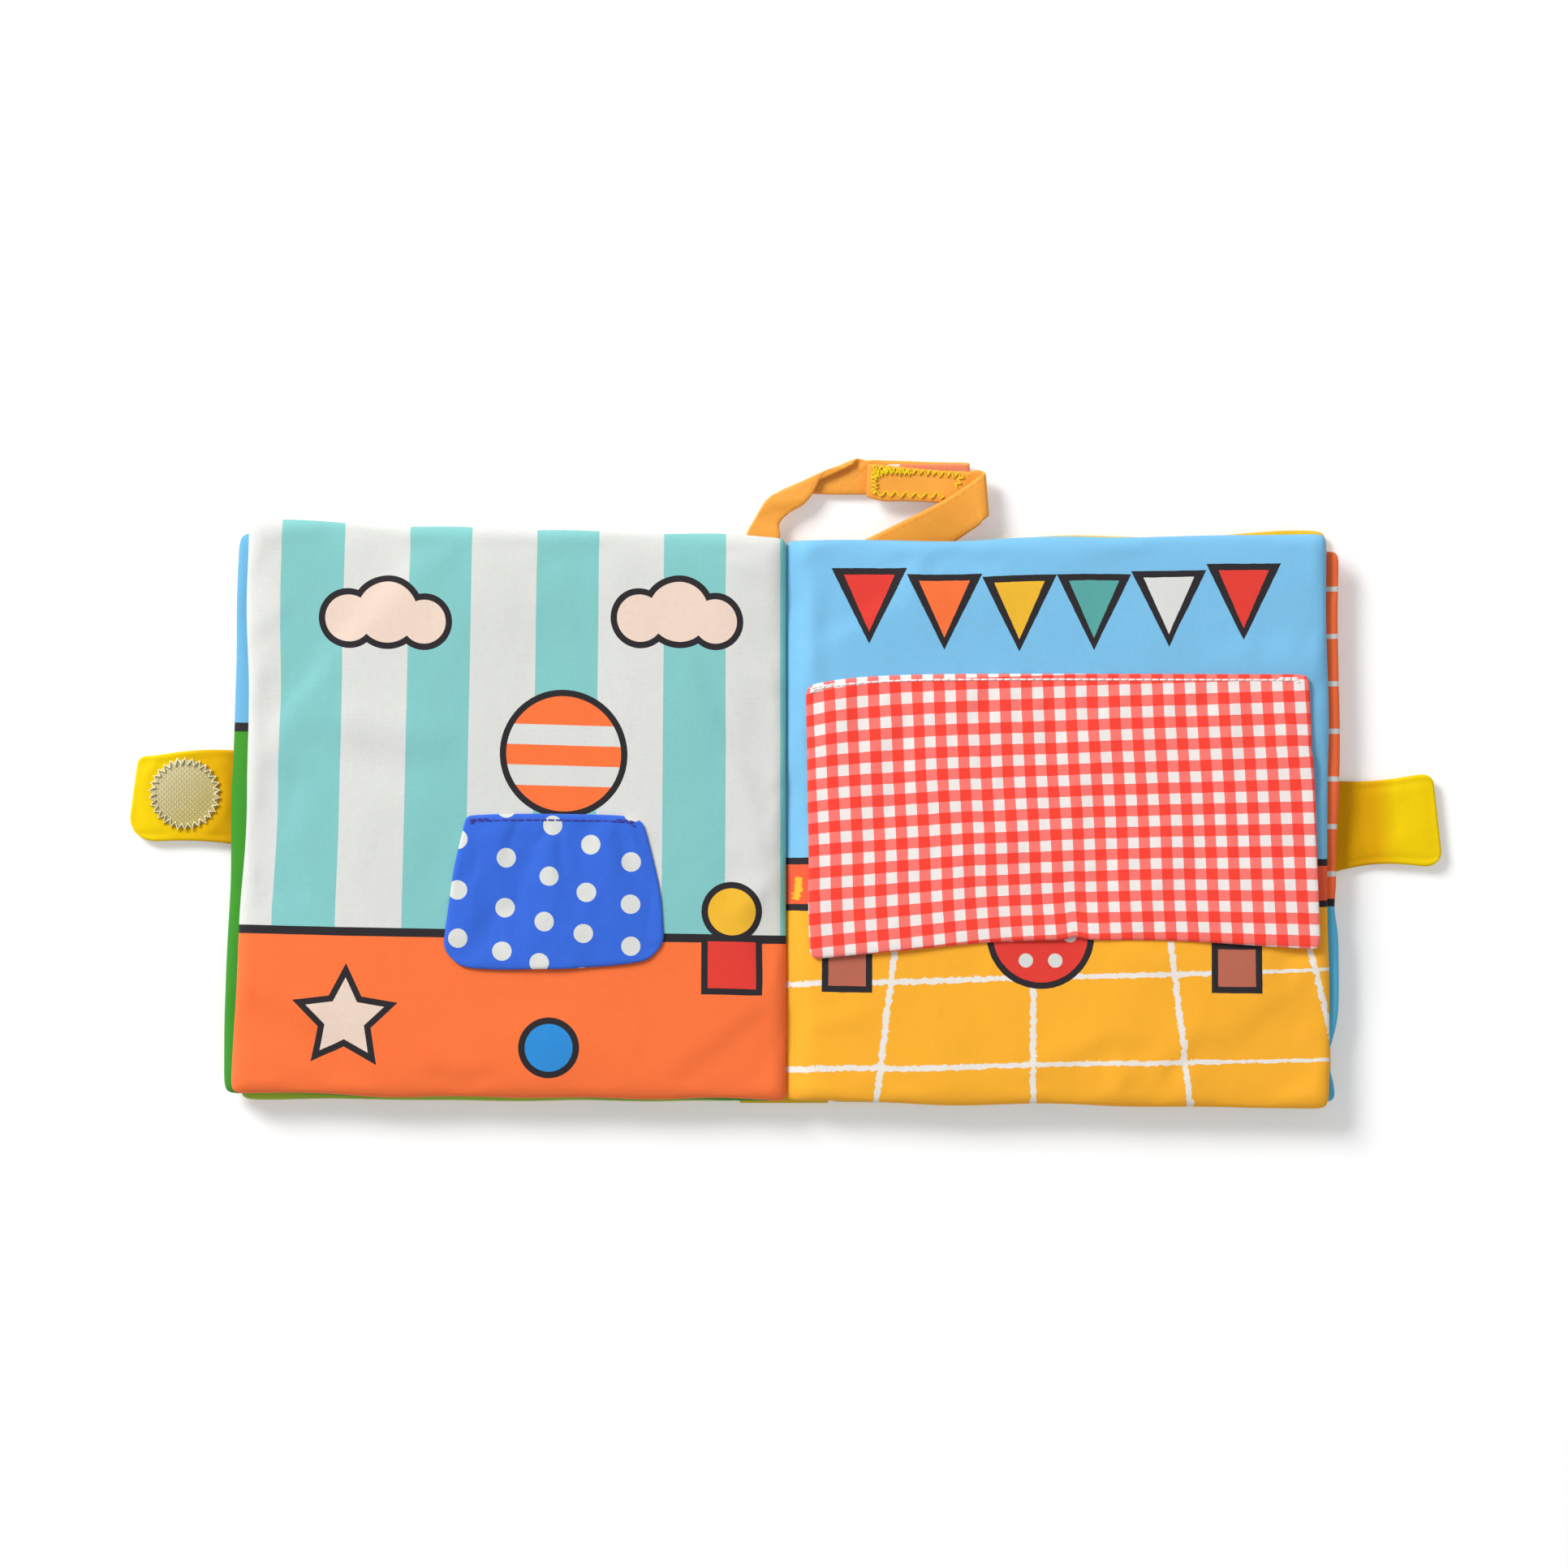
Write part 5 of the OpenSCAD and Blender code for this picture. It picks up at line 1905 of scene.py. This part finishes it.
    def _handle(self) -> None:
        """The two straps, the pads between them and the zigzag stitches on the end piece."""
        h, t = HEAD, BOOK.strap_t
        low = BOOK.handle_z
        self.pieces["left_strap_webbing"] = self._left_strap(low).build()
        self.pieces["right_strap_webbing"] = self._right_strap(low + t + 1.6).build()
        for name, node, z, deep, finish in (
            ("strap_loop_pad", "strap_loop_patch", low + t, 8.0, LOOP_CLOTH),
            ("strap_hook_pad", "strap_hook_patch", low + t + 0.8, 6.0, PATCH_CLOTH),
        ):
            pad = StrapPad(name, (29.6, h + 14, z), (25.6, deep, 0.8), node, finish)
            self.pieces[name] = pad.build()
        self.pieces["strap_stitching"] = self._strap_stitches(low + 2 * t + 1.6 + 0.12)

    @staticmethod
    def _left_strap(low: float) -> HandleStrap:
        """The left strap: up from the spine, turned back beneath itself, and on to the right.

        Args:
            low: height of its lower layer.

        Returns:
            The strap.
        """
        h, half = HEAD, BOOK.strap_t / 2
        root, leg = BOOK.leaf_t + half, low + BOOK.strap_t + 0.6 + half
        slant = math.radians(23)
        radius = 0.9
        out = Vector((math.sin(slant), -math.cos(slant))) * 1.5
        far = (20.2 + out.x, h + BOOK.strap_reach + out.y)
        length = 11 * 0.92 / math.sin(slant)
        near = (far[0] - length * math.cos(slant), far[1] - length * math.sin(slant))
        ribs = [
            Rib((-12.3, h - 11, root), (-2.4, h - 11, root)),
            Rib((-12.0, h - 3, root), (-1.6, h - 3.4, root)),
            Rib((-11.0, h + 1.7, root), (-1.1, h + 0.9, root)),
            Rib((-8.9, h + 5.5, leg + 0.5), (-1.3, h + 4.3, leg)),
            Rib((-7.0, h + 8.9, leg + 0.5), (1.8, h + 7.6, leg)),
            Rib((-5.7, h + 10.9, leg + 0.4), (6.2, h + 10.3, leg + 0.2)),
            Rib((-4.7, h + 11.9, leg + 0.2), (8.9, h + 13.7, leg + 0.3)),
            Rib((-3.9, h + 12.3, leg + 0.1), (11.3, h + 18.1, leg + 0.3)),
            Rib((-3.3, h + 12.2, leg), (14.6, h + 21.0, leg + 0.2)),
        ]
        ribs += turn_ribs(near, far, low + half, radius, 1.2)
        ribs += [
            Rib((5.5, h + 13.3, low + half), (25.6, h + 23.3, low + half)),
            Rib((13.5, h + 13.0, low + half), (27.6, h + 23.3, low + half)),
            Rib((23.6, h + 13.0, low + half), (30.2, h + 23.2, low + half)),
            Rib((34, h + 13.0, low + half), (36.5, h + 23.0, low + half)),
            Rib((44.5, h + 13.0, low + half), (44.5, h + 22.7, low + half)),
            Rib((55.2, h + 13.1, low + half), (55.2, h + 22.5, low + half)),
        ]
        return HandleStrap("left_strap_webbing", ribs, "left_strap", STRAP_CLOTH, seed=31)

    @staticmethod
    def _right_strap(low: float) -> HandleStrap:
        """The right strap: a slanted run off the page edge, a round fold and the end piece beneath.

        Args:
            low: height of the end piece's underside.

        Returns:
            The strap.
        """
        h, half = HEAD, BOOK.strap_t / 2
        root, run = BOOK.leaf_t + half, low + BOOK.strap_t + 0.6 + half
        far, near = (58.5, h + 18.7), (59.5, h + 5.6)

        def upper(x: float) -> float:
            """Y of the run's upper edge."""
            return h + 10.4 + (x - 46) * (0.64 if x > 46 else 0.49)

        ribs = [
            Rib((9.0, upper(6) - 12.0, root), (6, upper(6), root)),
            Rib((21.4, upper(16) - 11.2, root), (16, upper(16), root)),
            Rib((31.6, upper(25) - 11.6, root), (25, upper(25), root + 0.1)),
            Rib((42.0, h - 6.6, root), (33, upper(33), run - 0.9)),
            Rib((49.6, h - 1.8, root + 0.1), (41, upper(41), run)),
            Rib((54.8, h + 1.7, run - 1.4), (48, upper(48), run + 0.2)),
            Rib((58.1, h + 4.0, run - 0.5), (54, upper(54), run + 0.2)),
        ]
        ribs += [Rib(r.far, r.near) for r in turn_ribs(far, near, low + half, 0.9, -0.5)]
        ribs += [
            Rib((53.6, h + 8.8, low + half), (54.6, h + 19.8, low + half)),
            Rib((45.4, h + 10.4, low + half), (44.8, h + 20.2, low + half)),
            Rib((36.0, h + 10.9, low + half), (35.4, h + 21.1, low + half)),
            Rib((28.2, h + 11.1, low + half), (28.0, h + 21.9, low + half)),
            Rib((24.4, h + 12.2, low + half), (24.8, h + 22.1, low + half)),
        ]
        return HandleStrap("right_strap_webbing", ribs, "right_strap", STRAP_CLOTH, seed=37)

    @staticmethod
    def _strap_stitches(z: float) -> bpy.types.Object:
        """The rough zigzag that sews the end piece to its pad.

        Args:
            z: height of the end piece's upper face.

        Returns:
            The thread.
        """
        h = HEAD
        rows = (
            ((26.4, h + 13.2), (47.4, h + 12.4), 7, 0.9),
            ((26.4, h + 20.7), (53.0, h + 18.5), 13, 0.9),
            ((26.6, h + 19.8), (37.6, h + 19.5), 8, 1.1),
            ((31.6, h + 20.8), (26.2, h + 17.6), 6, 0.9),
            ((26.9, h + 20.0), (27.0, h + 13.0), 6, 0.9),
            ((53.0, h + 18.6), (51.4, h + 15.2), 2, 0.9),
        )
        lines = []
        for number, (a, b, count, reach) in enumerate(rows):
            start, step = Vector((*a, z)), Vector((b[0] - a[0], b[1] - a[1], 0))
            across = Vector((-step.y, step.x, 0)).normalized()
            line = []
            for i in range(4 * count + 1):
                wave = math.sin(math.pi * i / 2) * reach
                shake = noise.noise_vector(Vector((i * 0.7, number * 3.1, 2))) * 0.35
                point = start + step * (i / (4 * count)) + across * wave + Vector((shake.x, shake.y, 0))
                point.z = z + (0.18 if i % 2 == 0 else 0.02)
                line.append(point)
            lines.append(line)
        thread = Thread("strap_stitching", lines, Body.BACK, YELLOW_THREAD, "thread_yellow", ("strap_thread",))
        thread.radius = 0.22
        return thread.build()


LEFT_CREASES = (
    Crease((3, 68), (17, 53), 1.8, 0.6),
    Crease((14, 74), (26, 46), 4.0, -0.4),
    Crease((138, 113), (96, 103), 6.0, 0.6),
    Crease((150, 106), (104, 92), 6.0, -0.55),
    Crease((163, 36), (133, 21), 4.0, 0.6),
    Crease((160, 24), (120, 8), 6.0, -0.45),
    Crease((5, 150), (9, 96), 4.5, -0.4),
    Crease((40, 12), (88, 22), 7.0, 0.45),
    Crease((60, 150), (110, 140), 9.0, 0.4),
)
RIGHT_CREASES = (
    Crease((4, 22), (26, 27), 3.0, 0.5),
    Crease((3, 12), (20, 4), 3.0, -0.4),
    Crease((6, 118), (10, 158), 2.2, 0.6),
    Crease((11, 160), (13, 118), 2.4, -0.4),
    Crease((5, 58), (30, 46), 3.0, 0.45),
    Crease((96, 47), (116, 40), 4.0, 0.45),
    Crease((60, 8), (110, 14), 8.0, 0.4),
    Crease((148, 20), (158, 34), 4.0, -0.45),
    Crease((30, 156), (70, 148), 8.0, 0.4),
)


def main() -> None:
    """Build the book and its studio."""
    logging.basicConfig(level=logging.INFO, format="%(name)s: %(message)s")
    noise.seed_set(STITCH_SEED)
    Studio().build()
    ClothBook().build()


if __name__ == "__main__":
    main()
